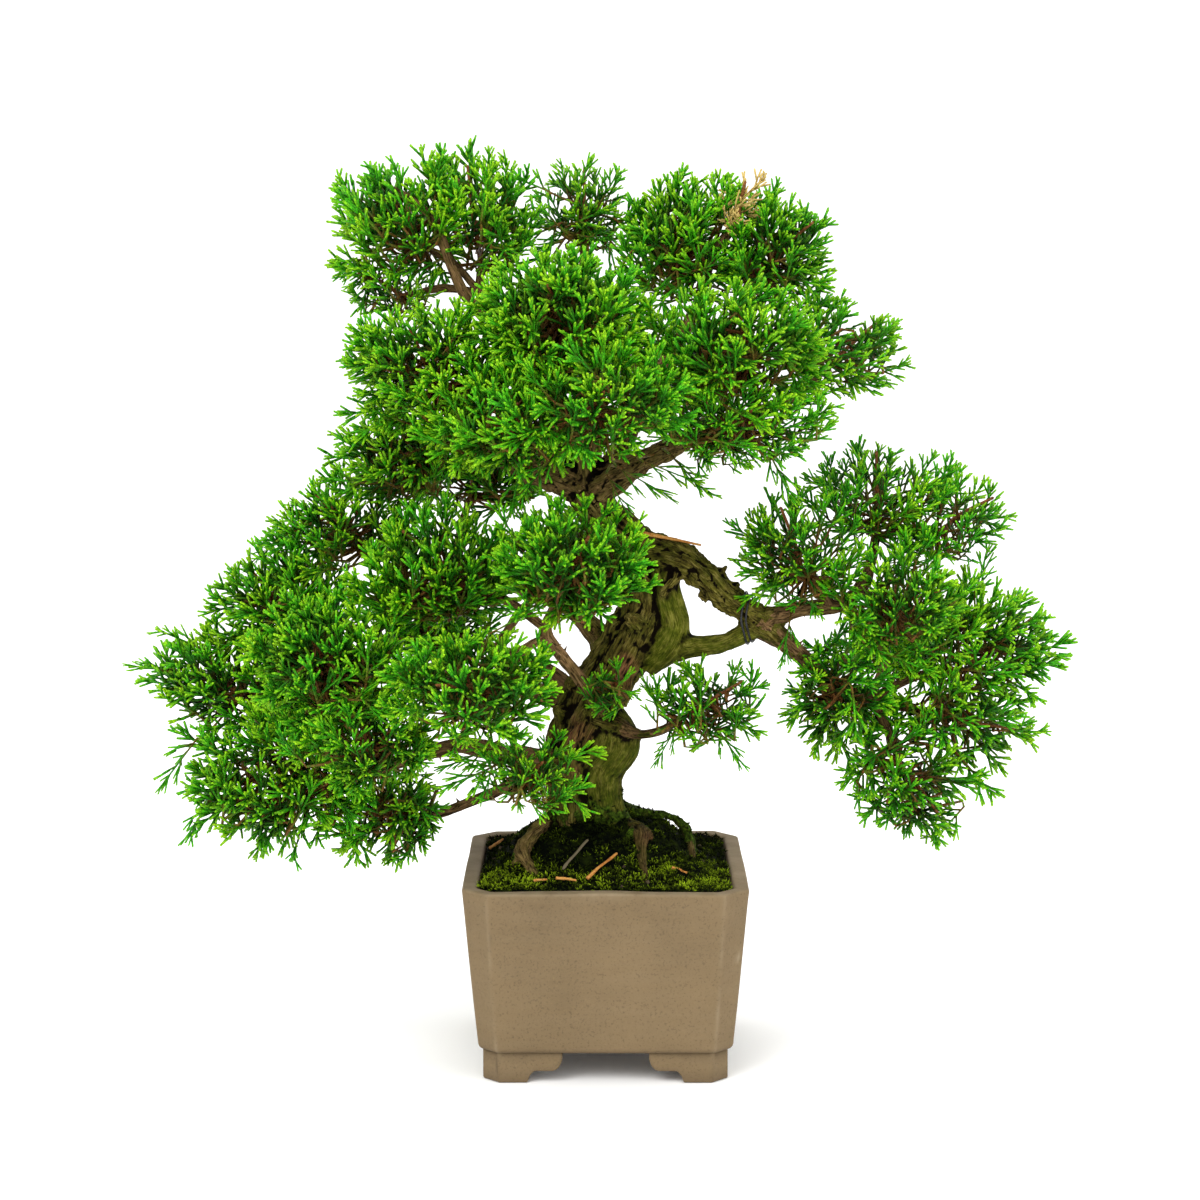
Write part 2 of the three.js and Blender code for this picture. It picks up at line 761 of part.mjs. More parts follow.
// Closed skin of a spray: a face with a side tip is raised to it, and the last ring closes in the end shoot
function sprayGeometry(rings, tip, sideTips) {
  const positions = [];
  const triangles = [];
  rings.forEach((ring) => ring.forEach((point) => positions.push(point.x, point.y, point.z)));
  for (let k = 0; k + 1 < rings.length; k += 1) {
    for (let face = 0; face < 3; face += 1) {
      const a = k * 3 + face;
      const b = k * 3 + ((face + 1) % 3);
      const c = b + 3;
      const d = a + 3;
      const side = sideTips.find((item) => item.ring === k && item.face === face);
      if (side === undefined) {
        triangles.push(a, b, c, a, c, d);
      } else {
        const e = positions.length / 3;
        positions.push(side.tip.x, side.tip.y, side.tip.z);
        triangles.push(a, b, e, b, c, e, c, d, e, d, a, e);
      }
    }
  }
  const last = (rings.length - 1) * 3;
  const end = positions.length / 3;
  positions.push(tip.x, tip.y, tip.z);
  triangles.push(last, last + 1, end, last + 1, last + 2, end, last + 2, last, end);
  triangles.push(0, 2, 1);
  return geometryOf(positions, triangles);
}

// Twig of a spray along a smooth route: sections from the root to the end shoot, a whorl step apart
// past the bare part
function layTwig(route, bareLength, radius, startAlong) {
  const curve = new THREE.CatmullRomCurve3(route, false, "centripetal");
  const length = curve.getLength();
  const whorls = Math.max(Math.floor((length - bareLength - endShootLength) / whorlStep), 1);
  const firstWhorl = length - endShootLength - whorls * whorlStep;
  const places = firstWhorl > 14 ? [0, firstWhorl / 2] : [0];
  for (let whorl = 0; whorl <= whorls; whorl += 1) {
    places.push(firstWhorl + whorl * whorlStep);
  }
  let across = null;
  const sections = places.map((place, k) => {
    const centre = curve.getPointAt(place / length);
    const along = k === 0 && startAlong !== null ? startAlong : curve.getTangentAt(place / length);
    const helper = across === null ? new THREE.Vector3(0.3, 0.2, 0.9) : across;
    across = helper.clone().addScaledVector(along, -helper.dot(along)).normalize();
    const up = new THREE.Vector3().crossVectors(along, across);
    const ring = [0, 1, 2].map((i) => {
      const angle = ((i + k * 0.06) / 3) * Math.PI * 2;
      const point = centre.clone().addScaledVector(across, Math.cos(angle) * radius);
      return point.addScaledVector(up, Math.sin(angle) * radius);
    });
    return { centre, along, ring };
  });
  return { sections, tip: curve.getPoint(1), whorls, radius };
}

function twigStems({ sections, tip, radius }) {
  const stems = sections.slice(1).map((section, k) => {
    return { from: sections[k].centre, to: section.centre, radius };
  });
  stems.push({ from: sections.at(-1).centre, to: tip, radius: radius * 0.8 });
  return stems;
}

// Side shoots of a twig, steeper towards its tip, left out where another piece is in the way
function growShoots({ sections, whorls }, random, owner, owners) {
  const shoots = [];
  const first = sections.length - 1 - whorls;
  for (let k = first; k + 1 < sections.length; k += 1) {
    const share = whorls === 1 ? 1 : (k - first) / (whorls - 1);
    for (let face = 0; face < 3; face += 1) {
      const next = (face + 1) % 3;
      const here = sections[k];
      const ahead = sections[k + 1];
      const base = here.ring[face].clone().add(here.ring[next]).add(ahead.ring[face]).add(ahead.ring[next]);
      base.multiplyScalar(0.25);
      const outward = base.clone().sub(here.centre.clone().lerp(ahead.centre, 0.5)).normalize();
      const drift = (random() - 0.5) * 4;
      const lean = THREE.MathUtils.degToRad(THREE.MathUtils.lerp(leanAtRoot, leanAtTip, share) + drift);
      const length = THREE.MathUtils.lerp(longestShoot, shortestShoot, share) * (0.85 + random() * 0.3);
      const tip = base.clone().addScaledVector(outward, Math.sin(lean) * length);
      tip.addScaledVector(here.along, Math.cos(lean) * length);
      tip.z += (random() - 0.3) * 1.5;
      const outer = base.clone().lerp(tip, 0.3);
      const free = shoots.every((other) => segmentDistance(outer, tip, other.outer, other.tip) > 1);
      if (free && isClear(base.clone().lerp(tip, 0.15), tip, shootRadius, owners)) {
        shoots.push({ ring: k, face, tip, outer });
        occupy(owner, base, tip, shootRadius);
      }
    }
  }
  return shoots;
}

// Main twig of a pad: on from the flat end of the limb or twig that bears it, to the far edge
function mainTwig(name, pad) {
  const bearer = pad.endOf === undefined ? twigs[name] : limbs[pad.endOf];
  const bearerEnd = stations(bearer.points, bearer.steps).at(-1);
  const start = bearerEnd.centre.clone().addScaledVector(bearerEnd.along, seatGap + 0.05);
  const middle = vector(pad.at);
  const inward = middle.clone().sub(start);
  const ahead = start.clone().addScaledVector(bearerEnd.along, inward.length() * 0.3);
  const farEnd = inward.clone().normalize().multiply(vector(pad.half)).add(middle);
  farEnd.z += pad.half[2] * 0.1;
  const bareLength = inward.length() * bareMainShare;
  return layTwig([start, ahead, middle, farEnd], bareLength, mainTwigRadius, bearerEnd.along);
}

// Where a side spray ends: they stand evenly round the main twig, by turns leaning outwards and forwards,
// and each new attempt is drawn further off
function sprayAim(pad, main, i, count, attempt, random) {
  const axis = main.tip.clone().sub(main.sections[0].centre).normalize();
  const helper = Math.abs(axis.x) < 0.75 ? new THREE.Vector3(1, 0, 0) : new THREE.Vector3(0, 0, 1);
  const across = helper.addScaledVector(axis, -helper.dot(axis)).normalize();
  const up = new THREE.Vector3().crossVectors(axis, across);
  const turn = ((i + (random() - 0.5) * (0.2 + attempt * 0.05)) / count) * Math.PI * 2;
  const outwards = i % 2 === 0;
  const lean = THREE.MathUtils.degToRad((outwards ? 84 : 50) + (random() - 0.5) * (10 + attempt));
  const direction = axis.multiplyScalar(Math.cos(lean));
  direction.addScaledVector(across, Math.sin(lean) * Math.cos(turn));
  direction.addScaledVector(up, Math.sin(lean) * Math.sin(turn));
  const size = 1.02 + random() * 0.06 - attempt * 0.008;
  const tip = vector(pad.at).add(direction.multiply(vector(pad.half)).multiplyScalar(size));
  return { tip, place: (outwards ? 0.3 : 0.5) + (random() - 0.5) * (0.1 + attempt * 0.01) };
}

// One side spray from a place on the main twig, or null where another piece is in the way of its twig
function sideTwig(main, { tip, place }, owners) {
  const along = place * (main.sections.length - 1);
  const index = Math.floor(along);
  const root = main.sections[index].centre.clone().lerp(main.sections[index + 1].centre, along - index);
  const span = tip.clone().sub(root);
  if (span.length() < shortestSpray) {
    return null;
  }
  const bend = root.clone().addScaledVector(span, 0.5);
  bend.addScaledVector(main.sections[index].along, span.length() * 0.08);
  const twig = layTwig([root, bend, tip], bareSideTwig, sideTwigRadius, null);
  return twigStems(twig).every(({ from, to, radius }) => isClear(from, to, radius, owners)) ? twig : null;
}

const mainTwigs = {};
Object.entries(pads).forEach(([name, pad]) => {
  mainTwigs[name] = mainTwig(name, pad);
  twigStems(mainTwigs[name]).forEach(({ from, to, radius }, k) => {
    occupy(name, k === 0 ? from.clone().lerp(to, 0.5) : from, to, radius);
  });
});

// One pad: side sprays reach from the main twig to the edge all round, then the main twig gets its shoots
function padSolid(name, pad, seed) {
  const random = seededRandom(seed);
  const main = mainTwigs[name];
  const solids = [];
  const count = Math.round(Math.min((pad.half[0] * pad.half[2]) / sprayArea, mostSideSprays));
  for (let i = 0; i < count; i += 1) {
    const owner = name + "_" + i;
    const owners = [owner, name];
    for (let attempt = 0; attempt < sprayAttempts; attempt += 1) {
      const twig = sideTwig(main, sprayAim(pad, main, i, count, attempt, random), owners);
      if (twig !== null) {
        twigStems(twig).forEach(({ from, to, radius }) => occupy(owner, from, to, radius));
        const shoots = growShoots(twig, random, owner, owners);
        solids.push(solidOf(sprayGeometry(twig.sections.map((section) => section.ring), twig.tip, shoots)));
        break;
      }
    }
  }
  const shoots = growShoots(main, random, name, [name]);
  solids.push(solidOf(sprayGeometry(main.sections.map((section) => section.ring), main.tip, shoots)));
  return joined(solids);
}

// Height at which a ray from above, but from under the crown, first meets the given meshes
function topAt(meshes, x, y) {
  const ray = new THREE.Raycaster(new THREE.Vector3(x, y, underCrown), new THREE.Vector3(0, 0, -1));
  return Math.max(...ray.intersectObjects(meshes, false).map((hit) => hit.point.z));
}

// Slightly bent dead twig that lies on whatever is highest under it
function fallenTwigSolid({ from, to, drop, radius }, meshes) {
  const samples = 12;
  let lift = -Infinity;
  for (let k = 0; k <= samples; k += 1) {
    const share = k / samples;
    [-radius, radius].forEach((offset) => {
      const x = THREE.MathUtils.lerp(from[0], to[0], share);
      const y = THREE.MathUtils.lerp(from[1], to[1], share) + offset;
      lift = Math.max(lift, topAt(meshes, x, y) + drop * share);
    });
  }
  const height = lift + radius + seatGap;
  const bend = [(from[0] + to[0]) / 2 + 0.6, (from[1] + to[1]) / 2 - 0.6, height - drop / 2 + 0.3, radius];
  const points = [[...from, height, radius * 0.7], bend, [...to, height - drop, radius * 0.8]];
  return solidOf(tubeGeometry(points, 4, 4));
}

// Low moss mat with a lumpy top, cut by the soil and the wood under it
function mossSolid({ at, half }, soilRoom, woodRoom) {
  const sectors = 10;
  const rings = [];
  [0, 1, 0.72, 0.4].forEach((share, level) => {
    const ring = [];
    for (let i = 0; i < sectors; i += 1) {
      const angle = (i / sectors) * Math.PI * 2;
      const wave = 1 + 0.1 * Math.sin(3 * angle + at[0]) - 0.06 * Math.cos(5 * angle);
      const x = at[0] + Math.cos(angle) * half[0] * wave * (level === 0 ? 1 : share);
      const y = at[1] + Math.sin(angle) * half[1] * wave * (level === 0 ? 1 : share);
      const lump = 0.5 * Math.sin(7 * angle + level);
      const rise = THREE.MathUtils.lerp(mossMiddleHeight, mossEdgeHeight, share * share) + lump;
      ring.push(new THREE.Vector3(x, y, level === 0 ? soilEdgeHeight - 6 : soilHeight(x, y) + rise));
    }
    rings.push(ring);
  });
  return solidOf(skinOverRings(rings)).subtract(soilRoom).subtract(woodRoom);
}

// Wire wound tightly round the two limbs: at each step it lies just outside the furthest wood on that side
function wireSolid(wood) {
  const middle = vector(wireMiddle);
  const reaches = [];
  const raysPerTurn = 24;
  const rayReach = 30;
  for (let i = 0; i < raysPerTurn; i += 1) {
    const angle = (i / raysPerTurn) * Math.PI * 2;
    const outward = new THREE.Vector3(0, Math.cos(angle), Math.sin(angle));
    let furthest = 0;
    [-0.5, 0, 0.5].forEach((share) => {
      const start = middle.clone().addScaledVector(outward, rayReach);
      start.x += share * wireSpread;
      const hit = new THREE.Raycaster(start, outward.clone().negate()).intersectObject(wood, false)[0];
      furthest = Math.max(furthest, rayReach - hit.distance);
    });
    reaches.push(furthest);
  }
  const reachAt = (angle) => {
    const shares = reaches.map((reach, i) => reach * Math.cos(angle - (i / raysPerTurn) * Math.PI * 2));
    return Math.max(...shares);
  };
  const steps = Math.round(wireTurns * wireStepsPerTurn);
  const points = [];
  for (let k = 0; k <= steps; k += 1) {
    const turn = (k / wireStepsPerTurn) * Math.PI * 2 - 1.2;
    const reach = reachAt(turn) + seatGap + wireRadius + 0.35;
    const x = middle.x + (k / steps - 0.5) * wireSpread;
    points.push([x, middle.y + Math.cos(turn) * reach, middle.z + Math.sin(turn) * reach, wireRadius]);
  }
  return solidOf(tubeGeometry(points, 4, steps));
}

const group = new THREE.Group();

function place(name, solid, finish) {
  const mesh = new THREE.Mesh(geometryOfSolid(solid), finish);
  mesh.name = name;
  group.add(mesh);
  return mesh;
}

const woodRoom = joined(buriedWood.map((limb) => limbSolid(limb, seatGap)));
const soilRoom = soilMass(seatGap);

place("pot", potSolid(), materials.stoneware);
place("drain_mesh", screenSolid(), materials.screen);
const soil = place("soil", soilSolid(woodRoom), materials.soil);
const wood = place("trunk", woodSolid(), materials.wood);
const ground = [soil, wood];
Object.entries(mossMats).forEach(([name, mat]) => {
  ground.push(place(name, mossSolid(mat, soilRoom, woodRoom), materials.moss));
});
Object.entries(fallenTwigs).forEach(([name, twig]) => {
  place(name, fallenTwigSolid(twig, ground), materials.deadTwig);
});
place("wire_tie", wireSolid(wood), materials.wire);
Object.entries(pads).forEach(([name, pad], i) => {
  const solid = padSolid(name, pad, 11 + i * 7);
  if (pad.dry) {
    place(name, solid, materials.deadFoliage);
  } else {
    place("foliage_" + name, solid, materials.foliage);
  }
});

const bounds = new THREE.Box3().setFromObject(group);
const middleOfBox = bounds.getCenter(new THREE.Vector3());
group.position.set(-middleOfBox.x, -middleOfBox.y, -bounds.min.z);

export default group;
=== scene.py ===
# Chinese juniper bonsai in its square stoneware pot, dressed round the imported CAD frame
import math

import bpy
import numpy as np
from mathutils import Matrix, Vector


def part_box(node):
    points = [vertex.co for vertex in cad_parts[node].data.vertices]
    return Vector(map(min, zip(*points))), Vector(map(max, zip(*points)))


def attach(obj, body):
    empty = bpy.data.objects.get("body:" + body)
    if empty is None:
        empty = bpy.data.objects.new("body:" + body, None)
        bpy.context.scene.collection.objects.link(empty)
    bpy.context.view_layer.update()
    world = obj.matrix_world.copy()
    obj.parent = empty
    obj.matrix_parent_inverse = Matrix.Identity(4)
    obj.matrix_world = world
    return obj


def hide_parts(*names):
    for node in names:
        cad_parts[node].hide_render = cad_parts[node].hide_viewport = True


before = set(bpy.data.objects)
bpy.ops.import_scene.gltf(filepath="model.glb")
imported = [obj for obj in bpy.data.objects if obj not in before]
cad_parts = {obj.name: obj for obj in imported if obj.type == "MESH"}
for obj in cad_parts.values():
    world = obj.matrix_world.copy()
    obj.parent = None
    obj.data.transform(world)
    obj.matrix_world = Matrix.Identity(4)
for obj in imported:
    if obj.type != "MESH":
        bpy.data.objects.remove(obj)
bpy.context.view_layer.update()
scene = bpy.context.scene
potLow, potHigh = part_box("pot")
potPlace = np.array([(potLow.x + potHigh.x) / 2, (potLow.y + potHigh.y) / 2, 0.0])
mm = 0.001  # shapes are worked out in millimetres round the pot's centre on the ground
norm = np.linalg.norm
fullTurn = 2 * math.pi

# camera and floor: what the photograph shows, seen from the front and a little above
cameraSettings = {
    "place": (-2.5, -1300.0, 399.0),  # mm from the pot's centre
    "lookDown": 8.26,  # degrees
    "lens": 86.55,
}
stageSettings = {
    "floorColour": (0.97, 0.97, 0.97, 1.0),
    "skyColour": (1.0, 1.0, 1.0, 1.0),
    "skyStrength": 1.36,
    "keyPower": 26.0,
    "fillPower": 8.5,
}


def unit(vectors):
    return vectors / norm(vectors, axis=-1, keepdims=True)


# points of a circle across each station of a path
def ringAround(across, up, angle):
    return np.cos(angle)[:, None] * across[..., None, :] + np.sin(angle)[:, None] * up[..., None, :]


def smoothStep(low, high, value):
    share = np.clip((value - low) / (high - low), 0, 1)
    return share * share * (3 - 2 * share)


# camera before the pot, turned down by a few degrees
def makeCamera():
    data = bpy.data.cameras.new("camera")
    data.lens = cameraSettings["lens"]
    data.sensor_width = 36
    data.clip_end = 20
    eye = bpy.data.objects.new("camera", data)
    eye.location = potPlace + np.array(cameraSettings["place"]) * mm
    eye.rotation_euler = (math.radians(90 - cameraSettings["lookDown"]), 0, 0)
    scene.collection.objects.link(eye)
    scene.camera = eye


# round lamp turned so that its -Z looks from its place to the target
def makeLight(name, place, target, size, power, colour):
    data = bpy.data.lights.new(name, "AREA")
    data.shape = "DISK"
    data.size = size
    data.energy = power
    data.color = colour
    lamp = bpy.data.objects.new(name, data)
    lamp.location = place
    direction = np.array(target) - np.array(place)
    flat = math.hypot(direction[0], direction[1])
    lamp.rotation_euler = (math.atan2(flat, -direction[2]), 0,
                           math.atan2(direction[1], direction[0]) - math.pi / 2)
    scene.collection.objects.link(lamp)


# material with its tree and its main shader
def newMaterial(name, roughness, specular=0.5):
    material = bpy.data.materials.new(name)
    material.use_nodes = True
    shader = material.node_tree.nodes["Principled BSDF"]
    shader.inputs["Roughness"].default_value = roughness
    shader.inputs["Specular IOR Level"].default_value = specular
    return material, material.node_tree, shader


# node with its settings and the values of its named inputs
def addNode(tree, kind, values=None, **settings):
    node = tree.nodes.new(kind)
    for name, value in settings.items():
        setattr(node, name, value)
    for name, value in (values or {}).items():
        node.inputs[name].default_value = value
    return node


def addNoise(tree, place, scale, detail=4.0, roughness=0.55, distortion=0.0):
    node = addNode(tree, "ShaderNodeTexNoise",
                   {"Scale": scale, "Detail": detail, "Roughness": roughness, "Distortion": distortion})
    tree.links.new(place, node.inputs["Vector"])
    return node.outputs["Fac"]


def scaled(colour, share):
    return tuple(c * share for c in colour)


def withAlpha(colour):
    return (*colour, 1.0) if isinstance(colour, tuple) else (colour, colour, colour, 1.0)


# ramp through colours, or through greys where a stop is a plain number
def addRamp(tree, factor, stops):
    node = tree.nodes.new("ShaderNodeValToRGB")
    elements = node.color_ramp.elements
    while len(elements) < len(stops):
        elements.new(0.5)
    for element, (place, colour) in zip(elements, stops):
        element.position = place
        element.color = withAlpha(colour)
    tree.links.new(factor, node.inputs["Fac"])
    return node.outputs["Color"]


# each socket gets a link from another node, or its own value
def joinSockets(tree, *pairs):
    for socket, value in pairs:
        if hasattr(value, "links"):
            tree.links.new(value, socket)
        elif value is not None:
            socket.default_value = withAlpha(value) if isinstance(value, tuple) else value


def addMix(tree, factor, first, second, blend="MIX"):
    node = addNode(tree, "ShaderNodeMix", data_type="RGBA", blend_type=blend)
    joinSockets(tree, (node.inputs[0], factor), (node.inputs[6], first), (node.inputs[7], second))
    return node.outputs[2]


def addMath(tree, operation, first, second=None, clamp=False):
    node = addNode(tree, "ShaderNodeMath", operation=operation, use_clamp=clamp)
    joinSockets(tree, (node.inputs[0], first), (node.inputs[1], second))
    return node.outputs[0]


def times(tree, first, second):
    return addMath(tree, "MULTIPLY", first, second)


def plus(tree, first, second, clamp=False):
    return addMath(tree, "ADD", first, second, clamp)


def minus(tree, first, second):
    return addMath(tree, "SUBTRACT", first, second)


# relief: brighter is higher, by the distance in metres times the strength
def addBump(tree, height, strength, distance, shader):
    node = addNode(tree, "ShaderNodeBump", {"Strength": strength, "Distance": distance})
    tree.links.new(height, node.inputs["Height"])
    tree.links.new(node.outputs["Normal"], shader.inputs["Normal"])


def paint(tree, colour, shader):
    tree.links.new(colour, shader.inputs["Base Color"])


def objectPlace(tree):
    return tree.nodes.new("ShaderNodeTexCoord").outputs["Object"]


def attributeOf(tree, name, output="Fac"):
    return addNode(tree, "ShaderNodeAttribute", attribute_name=name).outputs[output]


# smooth noise from -1 to 1: random numbers at whole-number corners, blended with a cubic ease
def valueNoise(points, seed=0):
    base = np.floor(points).astype(np.int64)
    part = points - base
    ease = part * part * (3 - 2 * part)
    total = np.zeros(points.shape[:-1])
    for corner in range(8):
        offset = np.array([corner & 1, (corner >> 1) & 1, corner >> 2])
        cell = base + offset
        key = cell[..., 0] * 73856093 ^ cell[..., 1] * 19349663 ^ cell[..., 2] * 83492791
        key = key ^ (seed * 2654435761)
        key = ((key ^ (key >> 13)) * 1274126177) & 0xFFFFFFFF
        key = key ^ (key >> 16)
        total += ((key & 0xFFFF) / 32767.5 - 1) * np.prod(np.where(offset == 1, ease, 1 - ease), axis=-1)
    return total


# noise in layers, each half as strong and about twice as fine as the one before
def layeredNoise(points, seed=0, layers=3):
    total = np.zeros(points.shape[:-1])
    for layer in range(layers):
        total += valueNoise(points * 2.03 ** layer + 7.3 * layer, seed + layer) * 0.5 ** layer
    return total


# piece from points in mm, faces as arrays of three or four corners, a UV for each face corner and point
# attributes
def meshPiece(name, points, faceLists, material, uvs=None, attributes=None, replaced=(), smooth=True):
    mesh = bpy.data.meshes.new(name)
    corners = np.concatenate([faces.ravel() for faces in faceLists])
    counts = np.concatenate([np.full(len(faces), faces.shape[1]) for faces in faceLists])
    starts = np.concatenate([[0], np.cumsum(counts)[:-1]])
    mesh.vertices.add(len(points))
    mesh.loops.add(len(corners))
    mesh.polygons.add(len(counts))
    mesh.vertices.foreach_set("co", (points * mm + potPlace).astype(np.float32).ravel())
    mesh.polygons.foreach_set("loop_start", starts.astype(np.int32))
    mesh.loops.foreach_set("vertex_index", corners.astype(np.int32))
    mesh.polygons.foreach_set("use_smooth", np.full(len(counts), smooth))
    if uvs is not None:
        layer = mesh.uv_layers.new(name="UVMap")
        layer.data.foreach_set("uv", uvs.astype(np.float32).ravel())
    for title, values in (attributes or {}).items():
        kind = "FLOAT" if values.ndim == 1 else "FLOAT_VECTOR"
        holder = mesh.attributes.new(title, kind, "POINT")
        holder.data.foreach_set("value" if kind == "FLOAT" else "vector", values.astype(np.float32).ravel())
    mesh.update(calc_edges=True)
    mesh.validate()
    piece = bpy.data.objects.new(name, mesh)
    scene.collection.objects.link(piece)
    mesh.materials.append(material)
    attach(piece, "root")
    if replaced:
        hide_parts(*replaced)


# corner numbers of the quads of a grid of points, row by row; a closed grid joins its last column to its
# first
def gridQuads(rows, columns, closedColumns=True, closedRows=False, first=0):
    rowCount = rows if closedRows else rows - 1
    columnCount = columns if closedColumns else columns - 1
    row, column = np.meshgrid(np.arange(rowCount), np.arange(columnCount), indexing="ij")
    nextRow = (row + 1) % rows
    nextColumn = (column + 1) % columns
    quads = np.stack([row * columns + column, row * columns + nextColumn,
                      nextRow * columns + nextColumn, nextRow * columns + column], axis=-1)
    return quads.reshape(-1, 4) + first


# smooth curve through points, the same as the solids follow: each span is a cubic whose speed follows the
# square root of the distance between points
def smoothCurve(points, t):
    points = np.asarray(points, float)
    padded = np.concatenate([[2 * points[0] - points[1]], points, [2 * points[-1] - points[-2]]])
    place = np.clip(t, 0, 1) * (len(points) - 1)
    index = np.minimum(place.astype(int), len(points) - 2)
    w = (place - index)[:, None]
    p0, p1, p2, p3 = (padded[index + k] for k in range(4))
    xyz = slice(0, 3)
    d0, d1, d2 = (np.maximum(norm((b - a)[:, xyz], axis=1), 1e-6)[:, None] ** 0.5
                  for a, b in ((p0, p1), (p1, p2), (p2, p3)))
    v1 = ((p1 - p0) / d0 - (p2 - p0) / (d0 + d1) + (p2 - p1) / d1) * d1
    v2 = ((p2 - p1) / d1 - (p3 - p1) / (d1 + d2) + (p3 - p2) / d2) * d1
    curve = p1 + v1 * w + (3 * (p2 - p1) - 2 * v1 - v2) * w ** 2 + (2 * (p1 - p2) + v1 + v2) * w ** 3
    if points.shape[1] > 3:
        curve[:, 3] = (p1 + (p2 - p1) * w)[:, 3]  # the radius runs straight from point to point
    return curve


# directions along a path, and two across it that don't spin
def pathFrames(centres):
    along = np.gradient(centres, axis=0)
    along = unit(along)
    helper = np.array([0.0, 0.0, 1.0]) if abs(along[0, 2]) < 0.8 else np.array([0.0, 1.0, 0.0])
    across = np.empty_like(along)
    side = np.cross(helper, along[0])
    for k, direction in enumerate(along):
        side = side - side.dot(direction) * direction
        side /= norm(side)
        across[k] = side
    return along, across, np.cross(along, across)


# triangles that close a grid's first and last row to the points head and head + 1
def poleFans(rows, columns, head, first=0, flipped=False):
    edge = np.arange(columns)
    after = (edge + 1) % columns
    last = first + (rows - 1) * columns
    fans = np.concatenate([np.stack([first + after, first + edge, np.full(columns, head)], axis=1),
                           np.stack([last + edge, last + after, np.full(columns, head + 1)], axis=1)])
    return fans[:, [1, 0, 2]] if flipped else fans


# tube along a path: a ring of points at each step, closed by a point at each end
def tubeSurface(centres, radii, sides, first=0):
    along, across, up = pathFrames(centres)
    angle = np.arange(sides) / sides * fullTurn
    if radii.ndim == 1:
        radii = radii[:, None]
    points = (centres[:, None] + ringAround(across, up, angle) * radii[..., None]).reshape(-1, 3)
    rows = len(centres)
    quads = gridQuads(rows, sides, first=first)
    triangles = poleFans(rows, sides, first + rows * sides, first)
    points = np.concatenate([points, centres[:1], centres[-1:] + along[-1:] * radii[-1].mean() * 0.5])
    return points, quads, triangles


# floor that curves up into a wall far behind, as one sheet: flat, a quarter circle, and upright
def makeStage():
    across = np.linspace(-6000, 6000, 13)
    bend = np.linspace(0.1, 1, 12) * math.pi / 2
    along = np.concatenate([np.linspace(-4000, 3000, 15), 3000 + 1500 * np.sin(bend), np.full(5, 4500)])
    height = np.concatenate([np.zeros(15), 1500 * (1 - np.cos(bend)), np.linspace(1800, 4000, 5)])
    points = np.stack([np.repeat(across[None], len(along), 0), np.repeat(along[:, None], 13, 1),
                       np.repeat(height[:, None], 13, 1)], axis=-1).reshape(-1, 3)
    material, _, shader = newMaterial("pale floor", 0.9, 0.15)
    shader.inputs["Base Color"].default_value = stageSettings["floorColour"]
    mesh = bpy.data.meshes.new("floor")
    mesh.from_pydata((points * mm).tolist(), [], gridQuads(len(along), 13, closedColumns=False).tolist())
    mesh.materials.append(material)
    mesh.polygons.foreach_set("use_smooth", np.ones(len(mesh.polygons), bool))
    floor = bpy.data.objects.new("floor", mesh)
    scene.collection.objects.link(floor)
    world = bpy.data.worlds.new("studio")
    world.use_nodes = True
    sky = world.node_tree.nodes["Background"]
    sky.inputs["Color"].default_value = stageSettings["skyColour"]
    sky.inputs["Strength"].default_value = stageSettings["skyStrength"]
    scene.world = world
    makeLight("key", (-0.9, -1.5, 1.7), (0, 0, 0.25), 1.3, stageSettings["keyPower"], (1.0, 0.99, 0.97))
    makeLight("fill", (1.6, -1.1, 0.9), (0, 0, 0.2), 1.5, stageSettings["fillPower"], (0.97, 0.99, 1.0))
    makeLight("top", (0.1, 0.3, 2.0), (0, 0, 0.2), 1.2, stageSettings["fillPower"], (1.0, 1.0, 1.0))
    scene.view_settings.view_transform = "Standard"


makeCamera()
makeStage()
print("camera and stage")

# pot: body with its rim, wall and floor as one closed surface round the drain hole, and four cloud-cut feet
potSettings = {
    "rimHalf": 64.0, "baseHalf": 57.0,
    "height": 89.0, "bottom": 13.8,
    "rimCut": 11.0, "baseCut": 8.0,
    "wall": 7.0, "floorTop": 22.0, "drain": 11.0,
    "footHalf": 55.0, "footWall": 9.0, "footCut": 7.0,
    "footFlat": 20.0, "stepHeight": 5.3, "stepEnd": 31.0, "archEnd": 36.0,
    "clay": (0.16, 0.11, 0.055), "clayPale": (0.26, 0.2, 0.125), "clayDark": (0.05, 0.033, 0.018),
    "edgeRounding": 0.016, "columns": 232,
}


# distance from the middle to the outline of a square with cut and slightly rounded corners, in each
# direction: the nearest of the flat sides and of the corner cuts, met by a smooth minimum
def cutSquareReach(angle, half, cut, rounding=potSettings["edgeRounding"]):
    flat = half / np.maximum(np.abs(np.cos(angle)), np.abs(np.sin(angle)))
    corner = (2 * half - cut) / (np.abs(np.cos(angle)) + np.abs(np.sin(angle)))
    gap = (corner - flat) / half
    share = np.clip(0.5 + gap / (2 * rounding), 0, 1)
    return corner * (1 - share) + flat * share - half * rounding * share * (1 - share)


# the pot's outline at some height, with sides and corner cuts drawn in by an inset
def potReach(angle, height, inset):
    p = potSettings
    flare = (height - p["bottom"]) / (p["height"] - p["bottom"])
    half = p["baseHalf"] + (p["rimHalf"] - p["baseHalf"]) * flare - inset
    cut = p["baseCut"] + (p["rimCut"] - p["baseCut"]) * flare - inset * (2 - math.sqrt(2))
    return cutSquareReach(angle, half, cut)


